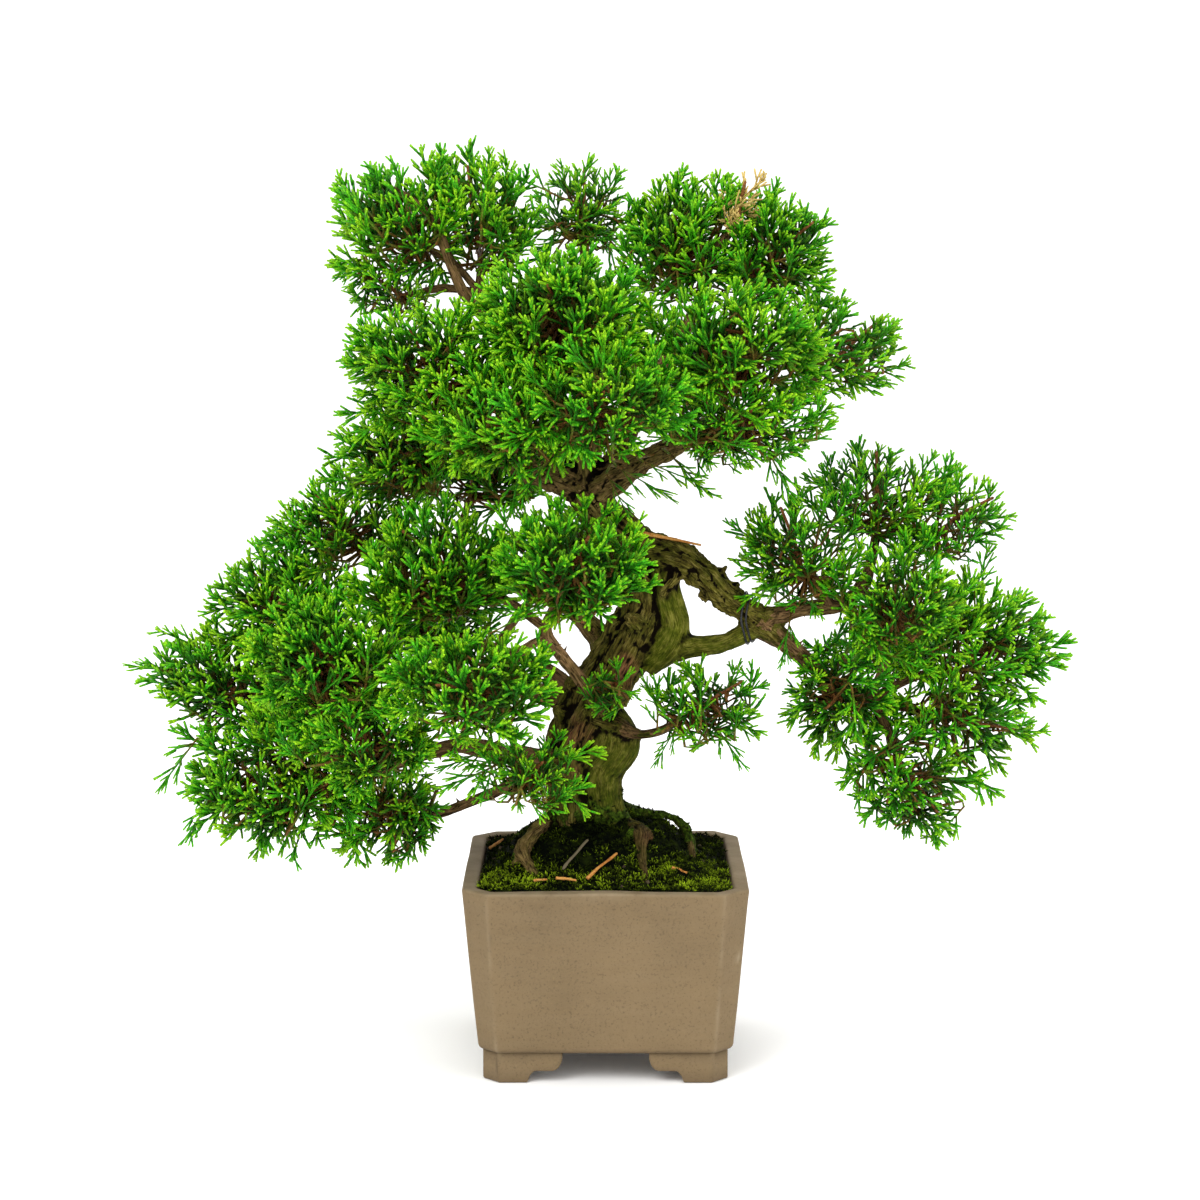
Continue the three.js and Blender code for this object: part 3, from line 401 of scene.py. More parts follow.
# body: the profile's rings, each a cut square drawn in by its inset, and under and on the floor drawn in
# towards the round drain hole
def potBodySurface():
    p = potSettings
    columns = p["columns"]
    # columns gather at the eight edges of the cut corners, which stay crisp that way
    fineTurn = np.linspace(0, fullTurn, 7201)
    toEdge = np.abs(np.abs(fineTurn % (math.pi / 2) - math.pi / 4) - math.radians(4.8))
    density = 1 + 7 * np.exp(-(toEdge / math.radians(1.8)) ** 2)
    walked = np.concatenate([[0], np.cumsum((density[1:] + density[:-1]) / 2)])
    angle = np.interp(np.arange(columns) / columns, walked / walked[-1], fineTurn)
    # profile: height and inset from the flared outside, from the drain hole out, up, over the rim and back in
    rise = np.linspace(0, 1, 20)[1:-1]
    outside = [(p["bottom"] + 2.6 + (p["height"] - p["bottom"] - 4.4) * k, 0.0, 1.0) for k in rise]
    inside = [(p["height"] - 2 + (p["floorTop"] + 4 - p["height"] + 2) * k, p["wall"], 1.0)
              for k in np.linspace(0, 1, 8)[1:]]
    curve = np.linspace(0, math.pi / 2, 5)
    foot = [(p["bottom"] + 2.6 * (1 - math.cos(a)), 2.6 * (1 - math.sin(a)), 1.0) for a in curve]
    lip = [(p["height"] - 1.4 + 1.4 * math.sin(a), 1.4 * (1 - math.cos(a)), 1.0) for a in curve]
    lipInside = [(p["height"] - 1.4 + 1.4 * math.cos(a), p["wall"] - 1.4 * (1 - math.sin(a)), 1.0)
                 for a in curve]
    well = [(p["floorTop"] + 3 * (1 - math.sin(a)), p["wall"] + 3 * (1 - math.cos(a)), 1.0) for a in curve]
    under = [(p["bottom"], 2.6, k) for k in np.linspace(0, 1, 6)[:-1]]
    floor = [(p["floorTop"], p["wall"] + 3, 1 - k) for k in np.linspace(0, 1, 6)[1:]]
    profile = np.array(under + foot + outside + lip + lipInside + inside + well + floor)
    height, inset, open_ = profile[:, 0, None], profile[:, 1, None], profile[:, 2, None]
    reach = potReach(angle[None], height, inset)
    reach = p["drain"] + (reach - p["drain"]) * open_  # the square draws in to the round drain hole
    x, y = reach * np.cos(angle), reach * np.sin(angle)
    points = np.stack([x, y, np.repeat(height, columns, 1)], axis=-1)
    # hand-made: faces bow by a few tenths of a millimetre, and the rim isn't quite level
    wave = layeredNoise(points * 0.022, 5, 2) * 0.35
    outer = points / np.maximum(norm(points[..., :2], axis=-1, keepdims=True), 1)
    points[..., :2] += outer[..., :2] * (wave * np.minimum(open_, 1))[..., None]
    rim = smoothStep(p["height"] - 8, p["height"], points[..., 2])
    points[..., 2] += rim * (valueNoise(points * np.array([0.04, 0.04, 0]), 9) * 0.45 - 0.25)
    quads = gridQuads(len(profile), columns, closedRows=True)
    return points.reshape(-1, 3), quads, np.repeat(inset, columns, 1).ravel()


# one foot: a wall that follows the corner of the foot ring, with its underside lifted by the cloud-cut arch
def footSurface(signX, signY, first):
    p = potSettings
    half, cut, wall = p["footHalf"], p["footCut"], p["footWall"]
    reachEnd = p["archEnd"] - 0.4
    run = np.concatenate([np.linspace(-reachEnd, -cut - 2, 30), np.linspace(-cut, cut, 13),
                          np.linspace(cut + 2, reachEnd, 30)])
    side = np.abs(run)

    # from the corner the outline runs along one side at each end, and across the cut corner in between
    def outlineAt(inset):
        limit = half - inset
        straight = half - np.maximum(side, cut)
        mix = np.clip(run / cut, -1, 1)
        x = np.where(run <= -cut, straight, limit - cut * (1 - mix) / 2)
        y = np.where(run >= cut, straight, limit - cut * (1 + mix) / 2)
        x = np.where(run >= cut, limit, x)
        y = np.where(run <= -cut, limit, y)
        # inside the wall, the walk along the sides can't pass the inner corner
        return np.minimum(x, limit), np.minimum(y, limit)

    flatEnd, stepStart, stepEnd, archEnd = p["footFlat"], p["footFlat"] + 3, p["stepEnd"], p["archEnd"]
    rise = np.sqrt(np.clip((side - flatEnd) / (stepStart - flatEnd), 0, 1)) * p["stepHeight"]
    arch = np.clip((side - stepEnd) / (archEnd - stepEnd), 0, 1)
    rise = rise + (p["bottom"] - p["stepHeight"]) * (1 - np.sqrt(np.clip(1 - arch ** 2, 0, 1)))
    top = p["bottom"] + 0.6
    rise = np.minimum(rise, top - 0.5)
    outerX, outerY = outlineAt(0)
    innerX, innerY = outlineAt(wall)
    bevel = np.minimum(1.1, (top - rise) * 0.3)
    rings = []
    # rows from the top outside round the underside to the top inside: share of the wall, lift to the top,
    # bevels
    for share, lift, bevels in ((0, 1, 0), (0, 0.5, 0), (0, 0, 1), (0.04, 0, 0.3), (0.13, 0, 0), (0.5, 0, 0),
                                (0.87, 0, 0), (0.96, 0, 0.3), (1, 0, 1), (1, 0.5, 0), (1, 1, 0)):
        x = outerX + (innerX - outerX) * share
        y = outerY + (innerY - outerY) * share
        rings.append(np.stack([x * signX, y * signY, rise + (top - rise) * lift + bevel * bevels], axis=-1))
    points = np.stack(rings, axis=1)
    points += layeredNoise(points * 0.06, 21, 2)[..., None] * np.array([0.2, 0.2, 0.0])
    rows, columns = points.shape[:2]
    quads = gridQuads(rows, columns, first=first)
    edge = np.arange(columns)
    caps = [first + edge[::-1], first + (rows - 1) * columns + edge]
    if signX * signY > 0:
        quads = quads[:, ::-1]
        caps = [cap[::-1] for cap in caps]
    fans = [np.stack([np.full(columns - 2, cap[0]), cap[1:-1], cap[2:]], axis=1) for cap in caps]
    return points.reshape(-1, 3), quads, np.concatenate(fans)


def stonewareMaterial():
    material, tree, shader = newMaterial("unglazed stoneware", 0.82, 0.3)
    place = objectPlace(tree)
    clay, pale, dark = potSettings["clay"], potSettings["clayPale"], potSettings["clayDark"]
    cloud = addNoise(tree, place, 13, 5, 0.65)
    body = addRamp(tree, cloud, [(0.32, scaled(clay, 0.84)), (0.5, clay), (0.68, scaled(clay, 1.13))])
    # fine pale and dark grains in the clay
    grain = addNoise(tree, place, 900, 2, 0.7)
    grainTone = addRamp(tree, grain, [(0.3, 0.72), (0.46, 1), (0.62, 1), (0.75, (1.18, 1.16, 1.13))])
    body = addMix(tree, 1.0, body, grainTone, "MULTIPLY")
    # faint streaks from wiping, drawn out sideways
    stretch = addNode(tree, "ShaderNodeMapping", {"Scale": (14.0, 14.0, 90.0)})
    tree.links.new(place, stretch.inputs["Vector"])
    wiped = addNoise(tree, stretch.outputs["Vector"], 2.2, 5, 0.65)
    streak = addRamp(tree, wiped, [(0.4, 0), (0.75, 1)])
    body = addMix(tree, times(tree, streak, 0.09), body, pale)
    # dark marks, and painted shade under the flare, at the foot line and inside the wall
    markAndShade = attributeOf(tree, "potMarkAndShade")
    body = addMix(tree, markAndShade, body, dark)
    # pale rubbed clay with a painted highlight on the rim and the corner edges
    paleAndHighlight = attributeOf(tree, "potPaleAndHighlight")
    body = addMix(tree, paleAndHighlight, body, pale)
    paint(tree, body, shader)
    height = plus(tree, times(tree, grain, 0.6), addNoise(tree, place, 240, 3, 0.6))
    addBump(tree, height, 0.35, 0.0005, shader)
    return material


# pot: body and four feet as one piece, with the places of painted shade and highlights, of marks and of
# rubbed clay
def makePot():
    body, quads, inset = potBodySurface()
    points, quadLists, fanLists = [body], [quads], []
    count = len(body)
    for signX in (-1, 1):
        for signY in (-1, 1):
            foot, footQuads, fans = footSurface(signX, signY, count)
            points.append(foot)
            quadLists.append(footQuads)
            fanLists.append(fans)
            count += len(foot)
    points = np.concatenate(points)
    # painted shade under the flare, at the foot line and inside the wall; the feet's lower edges are darker;
    # a nick and a scratch are dark marks; the rim's edges are rubbed pale, with a painted highlight
    z = points[:, 2]
    low = 0.35 * smoothStep(16.5, 13.5, z) * smoothStep(10, 13.5, z) + 0.25 * smoothStep(5, 0, z)
    nick = np.exp(-(((points[:, 0] + 51) / 0.7) ** 2 + ((z - 67) / 1.6) ** 2)) * (points[:, 1] < -50)
    scratch = np.exp(-(((points[:, 0] + 48.6) / 0.5) ** 2 + ((z - 8.8) / 2.2) ** 2)) * (points[:, 1] < -50)
    inside = np.concatenate([inset, np.zeros(len(points) - len(inset))]) > 4
    inner = 0.6 * inside * smoothStep(88.6, 85, z)
    marksAndShade = np.clip(low + nick + scratch + inner, 0, 1)
    rubbedAndHighlight = smoothStep(87.2, 88.7, z) * (0.4 + 0.35 * layeredNoise(points * 0.2, 4, 2))
    # the corner edges are rubbed pale, with a painted highlight
    turn = np.arctan2(points[:, 1], points[:, 0])
    toEdge = np.abs(np.abs(turn % (math.pi / 2) - math.pi / 4) - np.radians(4.32 + 1.05 * (z - 14) / 75))
    edgeWearAndHighlight = np.exp(-(toEdge / math.radians(0.6)) ** 2) * (0.2 + 0.25 * layeredNoise(points * 0.12, 6, 2))
    rubbedAndHighlight = np.maximum(rubbedAndHighlight, edgeWearAndHighlight * (z > 13) * (np.hypot(points[:, 0], points[:, 1]) > 60))
    speck = np.exp(-(((points[:, 0] - 59) / 0.8) ** 2 + ((z - 57) / 1.1) ** 2)) * (points[:, 1] < -50)
    meshPiece("stoneware_pot", points, quadLists + fanLists, stonewareMaterial(),
              attributes={"potMarkAndShade": marksAndShade, "potPaleAndHighlight": np.clip(rubbedAndHighlight + speck, 0, 1)}, replaced=["pot"])


makePot()
print("pot")


# wood: trunk, roots and limbs through [x, y, z, radius] points, as the solids have them
woodSettings = {
    "voxel": 1.05, "stubShare": 0.5, "collarLength": 34.0, "knotSwell": 0.16, "fibreRise": 0.3,
    "fibreDepth": 0.6, "lumpDepth": 0.85, "furrowDepth": 1.1,
    "brownDark": (0.014, 0.01, 0.003), "brown": (0.092, 0.07, 0.013), "tan": (0.24, 0.19, 0.055),
    "red": (0.18, 0.073, 0.036), "limbBrown": (0.165, 0.095, 0.045),
    "oliveDark": (0.024, 0.033, 0.002), "olive": (0.088, 0.097, 0.0075), "olivePale": (0.23, 0.215, 0.036),
    "green": (0.05, 0.077, 0.003), "crevice": (0.005, 0.003, 0.001), "moss": (0.025, 0.045, 0.003),
}
trunkPath = [(-6, 0, 84, 18), (-6, 0, 95, 18.5), (-7, 0, 110, 16.6), (-8, 0, 124, 15.4), (-7, 0, 141, 15.4),
             (-6, 0, 157, 14.8), (0, 1, 173, 14), (11, 4, 189, 14.2), (19, 6, 207, 13.4), (20, 8, 223, 12),
             (10, 11, 239, 10), (-2, 12, 251, 9), (-9, 9, 264, 10)]
rootPaths = [
    [(-14, -4, 112, 6), (-24.5, -6, 109.5, 4.4), (-30, -12.5, 106.5, 3.8), (-35, -18, 103, 3.5),
     (-38, -24, 98.5, 3.2), (-36, -30, 95.5, 2.9), (-31, -40, 91.5, 2.5), (-29, -46, 85, 2)],
    [(6, -8, 108, 5), (12, -16, 107.5, 4), (15.6, -19.5, 108, 3.6), (16.5, -27, 105, 2.8),
     (16.2, -31, 101.5, 2.7), (16.8, -37, 96, 2.5), (17.4, -46, 91, 2.1), (17.5, -50, 85, 1.8)],
    [(5, 2, 109, 5), (20, 2, 110, 2.4), (30, 0, 109.3, 2.2), (37, -3, 105, 2.7), (39, -8, 98, 2.4),
     (39, -12, 90, 2)],
    [(6, 6, 111, 6), (20, 16, 103, 4), (32, 24, 95, 3.2), (40, 30, 82, 2.6)],
    [(-14, 4, 113, 6), (-28, 8, 104, 4.2), (-40, 12, 95, 3.4), (-48, 16, 82, 2.8)],
    [(-8, 8, 111, 6), (-12, 22, 103, 4.2), (-14, 36, 94, 3.2), (-16, 46, 82, 2.6)],
]

# strands that stand out of the trunk, with dark crevices between them
strandPaths = {
    "oliveFront": [(8, -7, 92, 12.4), (3.5, -8.5, 105, 10), (-1, -9, 120, 8.8), (-1, -10, 134, 9.8),
        (5, -11, 146, 11.4), (4, -8, 155, 7.5)],
    "brownLeft": [(-20, -6, 88, 9.5), (-16, -7, 106, 8.6), (-15, -8, 126, 8.4), (-12, -9, 144, 8.8),
        (-5, -10, 160, 9), (4, -9, 176, 8.8), (12, -6, 190, 8.4), (18, -2, 206, 7.4), (18, 2, 222, 6)],
    "leftEdge": [(-20, 3, 90, 9), (-19, 4, 110, 8), (-20, 2, 130, 7.6), (-18, 1, 150, 7.8),
        (-11, 1, 168, 7.4), (0, 1, 184, 7), (8, 2, 200, 7)],
    "olivePanel": [(17, -5, 180, 6), (27, -5, 190, 9), (31, -4, 199, 7.6), (28.5, -3, 210, 7.2),
        (26.5, -1, 221, 6.6), (25, 1, 230, 6)],
    "backLeft": [(-12, 10, 88, 10), (-14, 10, 112, 9), (-12, 10, 138, 8.6), (-8, 10, 160, 8.4),
        (4, 12, 182, 8), (14, 14, 206, 7.4), (14, 16, 226, 6.4)],
    "backRight": [(3, 8, 88, 10), (0, 9, 110, 8.4), (-2, 9, 134, 8.2), (-1, 8, 156, 8.2), (9, 9, 176, 8.2),
        (23, 10, 196, 7.6), (26, 10, 214, 7)],
    "upperLeft": [(16, 2, 218, 8), (8, 4, 234, 7), (-4, 5, 247, 6.4), (-12, 2, 258, 6)],
}
limbPaths = {
    "knee": [(-8, -3, 122, 8), (-3, -8, 136, 11), (4, -11, 147, 12), (0, -6, 160, 8)],
    "upperRight": [(8, 8, 220, 8.5), (21, 1, 231, 8.5), (35, -4, 229.5, 7.4), (47, -7, 221, 6.7),
        (55, -9, 213, 6.5), (62, -10, 208, 5.8), (72, -9, 201, 6)],
    "lowerRight": [(10, 0, 191, 9), (24, -3, 189.5, 9), (42, -6, 190, 4.9), (54, -8, 192, 4.3),
        (64, -10, 197, 4.6), (74, -9, 201, 5)],
    "rightLow": [(68, -9, 202, 6.6), (80, -7, 193, 5), (93, -4, 182, 3.8), (107, -2, 171, 3),
        (124, -2, 164, 2.5), (141, -4, 161, 2)],
    "rightHigh": [(70, -9, 202, 5.6), (88, -6, 207, 3.8), (108, -3, 209, 3.3), (117, 0, 217, 2.9),
        (123, 6, 236, 2.2), (124, 9, 246, 1.8)],
    "crownLeft": [(-4, 9, 256, 9.5), (-20, 4, 266, 8.6), (-34, 0, 270, 6.2), (-50, -3, 277, 4.6),
        (-66, -5, 282, 3.4), (-84, -3, 278, 2.2)],
    "crownRight": [(-8, 10, 258, 9), (4, 0, 267, 7.6), (18, -4, 275, 5.6), (42, -8, 286, 4.4),
        (66, -6, 295, 3.4), (84, -2, 303, 2.6), (95, 0, 312, 2)],
    "leader": [(-9, 6, 264, 8), (-9, 0, 283, 6.8), (-5, -8, 304, 5), (-9, -18, 320, 3.6),
        (-15, -36, 332, 2.2)],
    "topLeft": [(-18, 5, 270, 5), (-24, 10, 296, 4.1), (-42, 14, 322, 3.3), (-56, 15, 346, 2.4),
        (-57, 16, 360, 1.9)],
    "topRight": [(2, 4, 268, 5), (18, 12, 302, 3.8), (36, 16, 332, 2.9), (44, 18, 350, 2.2),
        (44, 19, 360, 1.8)],
    "back": [(-8, 10, 262, 6), (-6, 28, 288, 4.4), (-6, 42, 312, 3.4), (-10, 52, 350, 2.3),
        (-10, 55, 370, 1.8)],
    "frontArm": [(-2, -8, 158, 5), (-4, -22, 167, 3.2), (-18, -33, 188, 2.8), (-26, -46, 202, 2.7),
        (-20, -66, 222, 2)],
    "frontTwig": [(4, -14, 156, 4), (14, -25, 153, 2.2), (25, -27, 155, 2), (33, -27, 160, 1.7)],
    "leftLow": [(-8, 0, 134, 8), (-21, -4, 136, 5.6), (-43, -16, 142, 4.2), (-68, -24, 147, 3.3),
        (-94, -28, 140, 2.8), (-126, -29, 130, 2)],
    "leftMiddle": [(-6, 2, 162, 8), (-20, 6, 164, 5.6), (-44, 9, 169, 4.2), (-76, 8, 175, 3.3),
        (-112, 6, 175, 2.9), (-162, 5, 167, 2)],
    "leftHigh": [(2, 8, 184, 8), (-4, 18, 192, 5.2), (-22, 22, 207, 4.3), (-53, 20, 217, 3.4),
        (-86, 16, 226, 2.9), (-106, 12, 233, 2)],
    "leftBottom": [(-14, -1, 142, 5), (-32, 0, 130, 2.9), (-60, -4, 118, 2.4), (-82, -10, 111, 1.9)],
    "backLow": [(-4, 6, 150, 8), (-12, 26, 160, 4.6), (-30, 44, 172, 3.6), (-52, 60, 178, 2.8),
        (-72, 76, 182, 2)],
}
# limb that shows inside the crown's left pad, with its fork
extraLimbs = [
    [(-54, 14, 338, 2.6), (-63, 4, 348, 2.6), (-70, 2, 364, 2.4), (-78, 2, 383, 2), (-87, 2, 391, 1.6),
     (-96, 4, 396, 1.2)],
    [(-76, 2, 378, 1.8), (-71, 2, 388, 1.5), (-66, 2, 400, 1)],
]
fusedLimbs = ["knee", "upperRight", "lowerRight", "crownLeft", "crownRight", "leader"]
thinLimbs = [name for name in limbPaths if name not in fusedLimbs]

# stubs of cut twigs, burrs and the lip over the hollow of the knee
burrPaths = [
    [(50, -8, 221, 3), (52.5, -8, 225, 2), (54.6, -8, 226.5, 1.4)],
    [(56, -9, 215, 3), (59, -8.5, 219, 2), (61, -8.5, 220, 1.5)],
    [(16, 0, 233, 5), (21, -1, 239.5, 3.4)], [(28, -2, 232, 4.6), (31, -2, 237.5, 2.6)],
    [(8, 6, 235, 5), (12, 4, 240, 3)],
    [(44, -7, 215, 3.4), (46, -9, 211, 2)], [(33, -4, 224, 4), (30, -9, 220, 2.6), (25, -11, 214, 2)],
    [(-5, -17, 158, 2.4), (4, -20, 156, 2.8), (12, -17, 152.5, 2.6), (16, -13, 149, 2)],
    [(-22, -8, 132, 3), (-27, -10, 135, 2)], [(-14, -2, 170, 4), (-17, -4, 174, 2.4)],
    [(-19, -6, 158, 4), (-23, -6, 161, 2.6)],
    [(14, -10, 200, 4), (10, -14, 205, 2.4)], [(-30, -12, 107, 3), (-36, -9, 104, 2)],
    [(-37.5, -23, 99, 2.8), (-43, -28, 92, 1.8)],
    [(14, -18, 108, 3), (11.5, -23, 106.5, 2), (10, -28, 101, 1.4)],
    [(17, -19, 108, 3), (20.5, -23, 104.5, 1.7)],
]
redPlaces = [(9, -16, 180, 9), (-12, -16, 152, 9), (-15, -14, 136, 7), (16, -24, 101, 9), (2, -12, 250, 9),
             (18, 0, 236, 7)]


# places every few millimetres along a path, with radius, directions and the way walked
def pathStations(points, spacing=2.0):
    points = np.array(points, float)
    count = max(int(norm(np.diff(points[:, :3], axis=0), axis=1).sum() / spacing), 6)
    curve = smoothCurve(points, np.linspace(0, 1, count))
    along, across, up = pathFrames(curve[:, :3])
    run = np.concatenate([[0], np.cumsum(norm(np.diff(curve[:, :3], axis=0), axis=1))])
    return {"centre": curve[:, :3], "radius": curve[:, 3], "along": along, "across": across, "up": up,
            "run": run}


# places on bark: two across the limb and one drawn out along it, so that noise read there makes long fibres
def barkPlaces(offset, across, up, run, seed):
    u = (offset * across).sum(-1)
    v = (offset * up).sum(-1)
    return np.stack([u, v, run * 0.11 + seed * 17.0], axis=-1)


# limb as a tube whose radius swells into knots and carries fibres; both come from noise on its own bark
# places
def barkTube(points, sides, seed):
    s = pathStations(points, 1.6)
    angle = np.arange(sides) / sides * fullTurn
    offset = ringAround(s["across"], s["up"], angle) * s["radius"][:, None, None]
    places = barkPlaces(offset, s["across"][:, None], s["up"][:, None],
                        s["run"][:, None] + 0 * offset[..., 0], seed)
    knots = layeredNoise(places * np.array([0.25, 0.25, 1.0]), 31, 2)
    fibres = layeredNoise(places * np.array([1.1, 1.1, 1.0]), 33, 2)
    radii = s["radius"][:, None] * (1 + woodSettings["knotSwell"]
                                    * knots) + woodSettings["fibreRise"] * fibres
    points, quads, triangles = tubeSurface(s["centre"], radii, sides)
    ends = np.array([places[0].mean(0), places[-1].mean(0)])
    # last the bark places, and painted shade that deepens where the fibres sink
    return points, quads, triangles, np.concatenate([places.reshape(-1, 3), ends]), np.concatenate([
        np.clip(0.34 - 0.4 * fibres.ravel(), 0, 1), [0.4, 0.4]])


# stubs of cut shoots along the thin limbs: four-sided points that lean forward along the limb
def limbStubs(random):
    stations = [pathStations(limbPaths[name], 1.6) for name in thinLimbs]
    centre, radius, along, across, up = (np.concatenate([s[key][3:-3] for s in stations])
                                         for key in ("centre", "radius", "along", "across", "up"))
    chosen = np.flatnonzero(random.uniform(size=len(radius)) < woodSettings["stubShare"])
    centre, radius, along, across, up = (value[chosen] for value in (centre, radius, along, across, up))
    turn = random.uniform(0, fullTurn, len(chosen))[:, None]
    outward = across * np.cos(turn) + up * np.sin(turn)
    sideways = np.cross(along, outward)
    size = random.uniform(0.8, 2.4, len(chosen))[:, None]
    foot = centre + outward * radius[:, None] * 0.75
    width = 0.3 + 0.3 * size
    corners = [foot + along * width, foot + sideways * width, foot - along * width, foot - sideways * width,
               foot + outward * (size + radius[:, None] * 0.25)
               + along * size * random.normal(0.3, 0.4, size.shape)]
    points = np.stack(corners, axis=1)
    faces = np.array([[1, 0, 4], [2, 1, 4], [3, 2, 4], [0, 3, 4], [0, 1, 2], [0, 2, 3]])
    faces = (faces[None] + np.arange(len(chosen))[:, None, None] * 5).reshape(-1, 3)
    places = np.repeat(np.stack([turn[:, 0], radius, turn[:, 0] * 3], axis=1), 5, axis=0)
    return points.reshape(-1, 3), faces, places, np.full(len(places), 0.4)


# collar at the foot of a thin limb: it starts a little thicker than the limb and sinks into it further out
def limbCollar(path):
    s = pathStations(path, 2.0)
    last = np.searchsorted(s["run"], woodSettings["collarLength"])
    chosen = np.linspace(0, last, 5).astype(int)
    radius = s["radius"][chosen] * np.linspace(1.12, 0.8, 5)
    return np.column_stack([s["centre"][chosen], radius])


# strands, roots and thick limbs are fused into one skin, then smoothed by a few rounds of neighbour averages
def fusedWoodSkin():
    paths = [[(x, y, z, r * 0.9) for x, y, z, r in trunkPath]] + list(strandPaths.values()) + list(rootPaths)
    paths += [limbPaths[name] for name in fusedLimbs] + burrPaths
    paths += [limbCollar(limbPaths[name]) for name in thinLimbs]
    points, quads, triangles, count = [], [], [], 0
    for path in paths:
        s = pathStations(path, 2.0)
        tube, tubeQuads, tubeTriangles = tubeSurface(s["centre"], s["radius"], 20, count)
        points.append(tube)
        quads.append(tubeQuads)
        triangles.append(tubeTriangles)
        count += len(tube)
    mesh = bpy.data.meshes.new("rough wood")
    mesh.from_pydata((np.concatenate(points)).tolist(), [],
                     np.concatenate(quads).tolist() + np.concatenate(triangles).tolist())
    rough = bpy.data.objects.new("rough wood", mesh)
    scene.collection.objects.link(rough)
    remesh = rough.modifiers.new("fuse", "REMESH")
    remesh.mode = "VOXEL"
    remesh.voxel_size = woodSettings["voxel"]
    graph = bpy.context.evaluated_depsgraph_get()
    fused = bpy.data.meshes.new_from_object(rough.evaluated_get(graph))
    skin = np.empty(len(fused.vertices) * 3, np.float32)
    fused.vertices.foreach_get("co", skin)
    faces = np.empty(len(fused.loops), np.int32)
    fused.loops.foreach_get("vertex_index", faces)
    bpy.data.objects.remove(rough)
    return skin.reshape(-1, 3).astype(float), faces.reshape(-1, 4), paths


# mean of each point's neighbours along the quads' edges
def neighbourMean(values, quads):
    total = np.zeros_like(values)
    count = np.zeros(len(values))
    for a in range(4):
        for b in (1, 3):
            np.add.at(total, quads[:, a], values[quads[:, (a + b) % 4]])
            np.add.at(count, quads[:, a], 1)
    return total / count.reshape(-1, *([1] * (values.ndim - 1)))


# values drawn a share of the way to their neighbours' mean, in rounds
def smoothed(values, quads, rounds, share):
    for _ in range(rounds):
        values = values * (1 - share) + neighbourMean(values, quads) * share
    return values


# normal at each point: the sum of the normals of its quads, at length one
def vertexNormals(points, quads):
    a, b, c, d = (points[quads[:, k]] for k in range(4))
    face = np.cross(c - a, d - b)
    normals = np.zeros_like(points)
    for k in range(4):
        np.add.at(normals, quads[:, k], face)
    return normals / np.maximum(norm(normals, axis=1, keepdims=True), 1e-9)


# the skin is smoothed, then moved along its normals by fibres, lumps and furrows on its strand's bark places;
# beside it come the shares of olive, painted crevice shade, moss and red at each point
def dressedWood():
    skin, quads, paths = fusedWoodSkin()
    skin = smoothed(skin, quads, 4, 0.5)
    stations = [pathStations(path, 2.0) for path in paths]
    merged = {key: np.concatenate([s[key] for s in stations]) for key in stations[0]}
    number = np.concatenate([np.full(len(s["run"]), k) for k, s in enumerate(stations)])
    nearest = np.empty(len(skin), int)
    for start in range(0, len(skin), 4000):
        part = skin[start:start + 4000]
        distance = norm(part[:, None] - merged["centre"][None], axis=2) - merged["radius"]
        nearest[start:start + 4000] = distance.argmin(1)
    owner = number[nearest]
    offset = skin - merged["centre"][nearest]
    run = merged["run"][nearest] + (offset * merged["along"][nearest]).sum(1)
    places = barkPlaces(offset, merged["across"][nearest], merged["up"][nearest], run, 0)
    places[:, 2] += owner * 3.7
    normals = vertexNormals(skin, quads)
    strandNames = (["core"] + list(strandPaths) + ["root"] * len(rootPaths) + fusedLimbs
                   + ["burr"] * len(burrPaths) + ["collar"] * len(thinLimbs))
    oliveShare = np.array([{"oliveFront": 1.0, "olivePanel": 1.0, "knee": 0.9, "lowerRight": 0.8,
                            "backRight": 0.6, "upperRight": 0.3}.get(name, 0.15)
                           for name in strandNames])[owner]
    oliveShare = smoothed(oliveShare, quads, 3, 0.6)
    rough = np.array([{"upperRight": 1.7, "oliveFront": 0.3, "olivePanel": 0.35, "knee": 0.35,
                       "lowerRight": 0.4, "burr": 1.2, "root": 0.9, "collar": 0.8}.get(name, 1.25)
                      for name in strandNames])[owner]
    rough = smoothed(rough, quads, 3, 0.6)
    fibres = layeredNoise(places * np.array([0.62, 0.62, 1.6]), 41, 3)
    furrows = 1 - np.abs(layeredNoise(places * np.array([0.26, 0.26, 0.8]), 45, 2)) * 2.6
    lumps = layeredNoise(skin * 0.13, 47, 3)
    height = rough * (woodSettings["fibreDepth"] * fibres + woodSettings["lumpDepth"] * lumps)
    height -= woodSettings["furrowDepth"] * np.clip(furrows, 0, 1) ** 3 * np.minimum(rough, 1.3)
    skin = skin + normals * height[:, None]
    # how far each point lies below its neighbours' mean, over a few widths: the crevices, which get painted
    # shade
    cavityShade = ((smoothed(skin, quads, 12, 1) - skin) * normals).sum(1)
    skinMoss = smoothStep(134, 114, skin[:, 2]) * smoothStep(-0.8, 0.2,
                                                             normals[:, 2] + layeredNoise(skin * 0.16, 51, 2))
    archRoot = smoothStep(14, 22, skin[:, 0]) * smoothStep(-8, -3, skin[:, 1])
    onRoot = np.array([name == "root" for name in strandNames])[owner] & (skin[:, 1] < -10)
    skinMoss = np.where(onRoot, skinMoss * 0.45, skinMoss) + archRoot * smoothStep(116, 112, skin[:, 2]) * 0.5
    skinMoss = np.clip(skinMoss, 0, 1)
    redSpots = np.array(redPlaces, float)
    away = norm(skin[:, None] - redSpots[None, :, :3], axis=2) / redSpots[:, 3]
    red = smoothStep(1.1, 0.45, away.min(axis=1) + 0.25 * layeredNoise(skin * 0.2, 53, 2))
    return skin, quads, places, oliveShare, np.clip(0.5 + cavityShade * 0.8, 0, 1), skinMoss, red
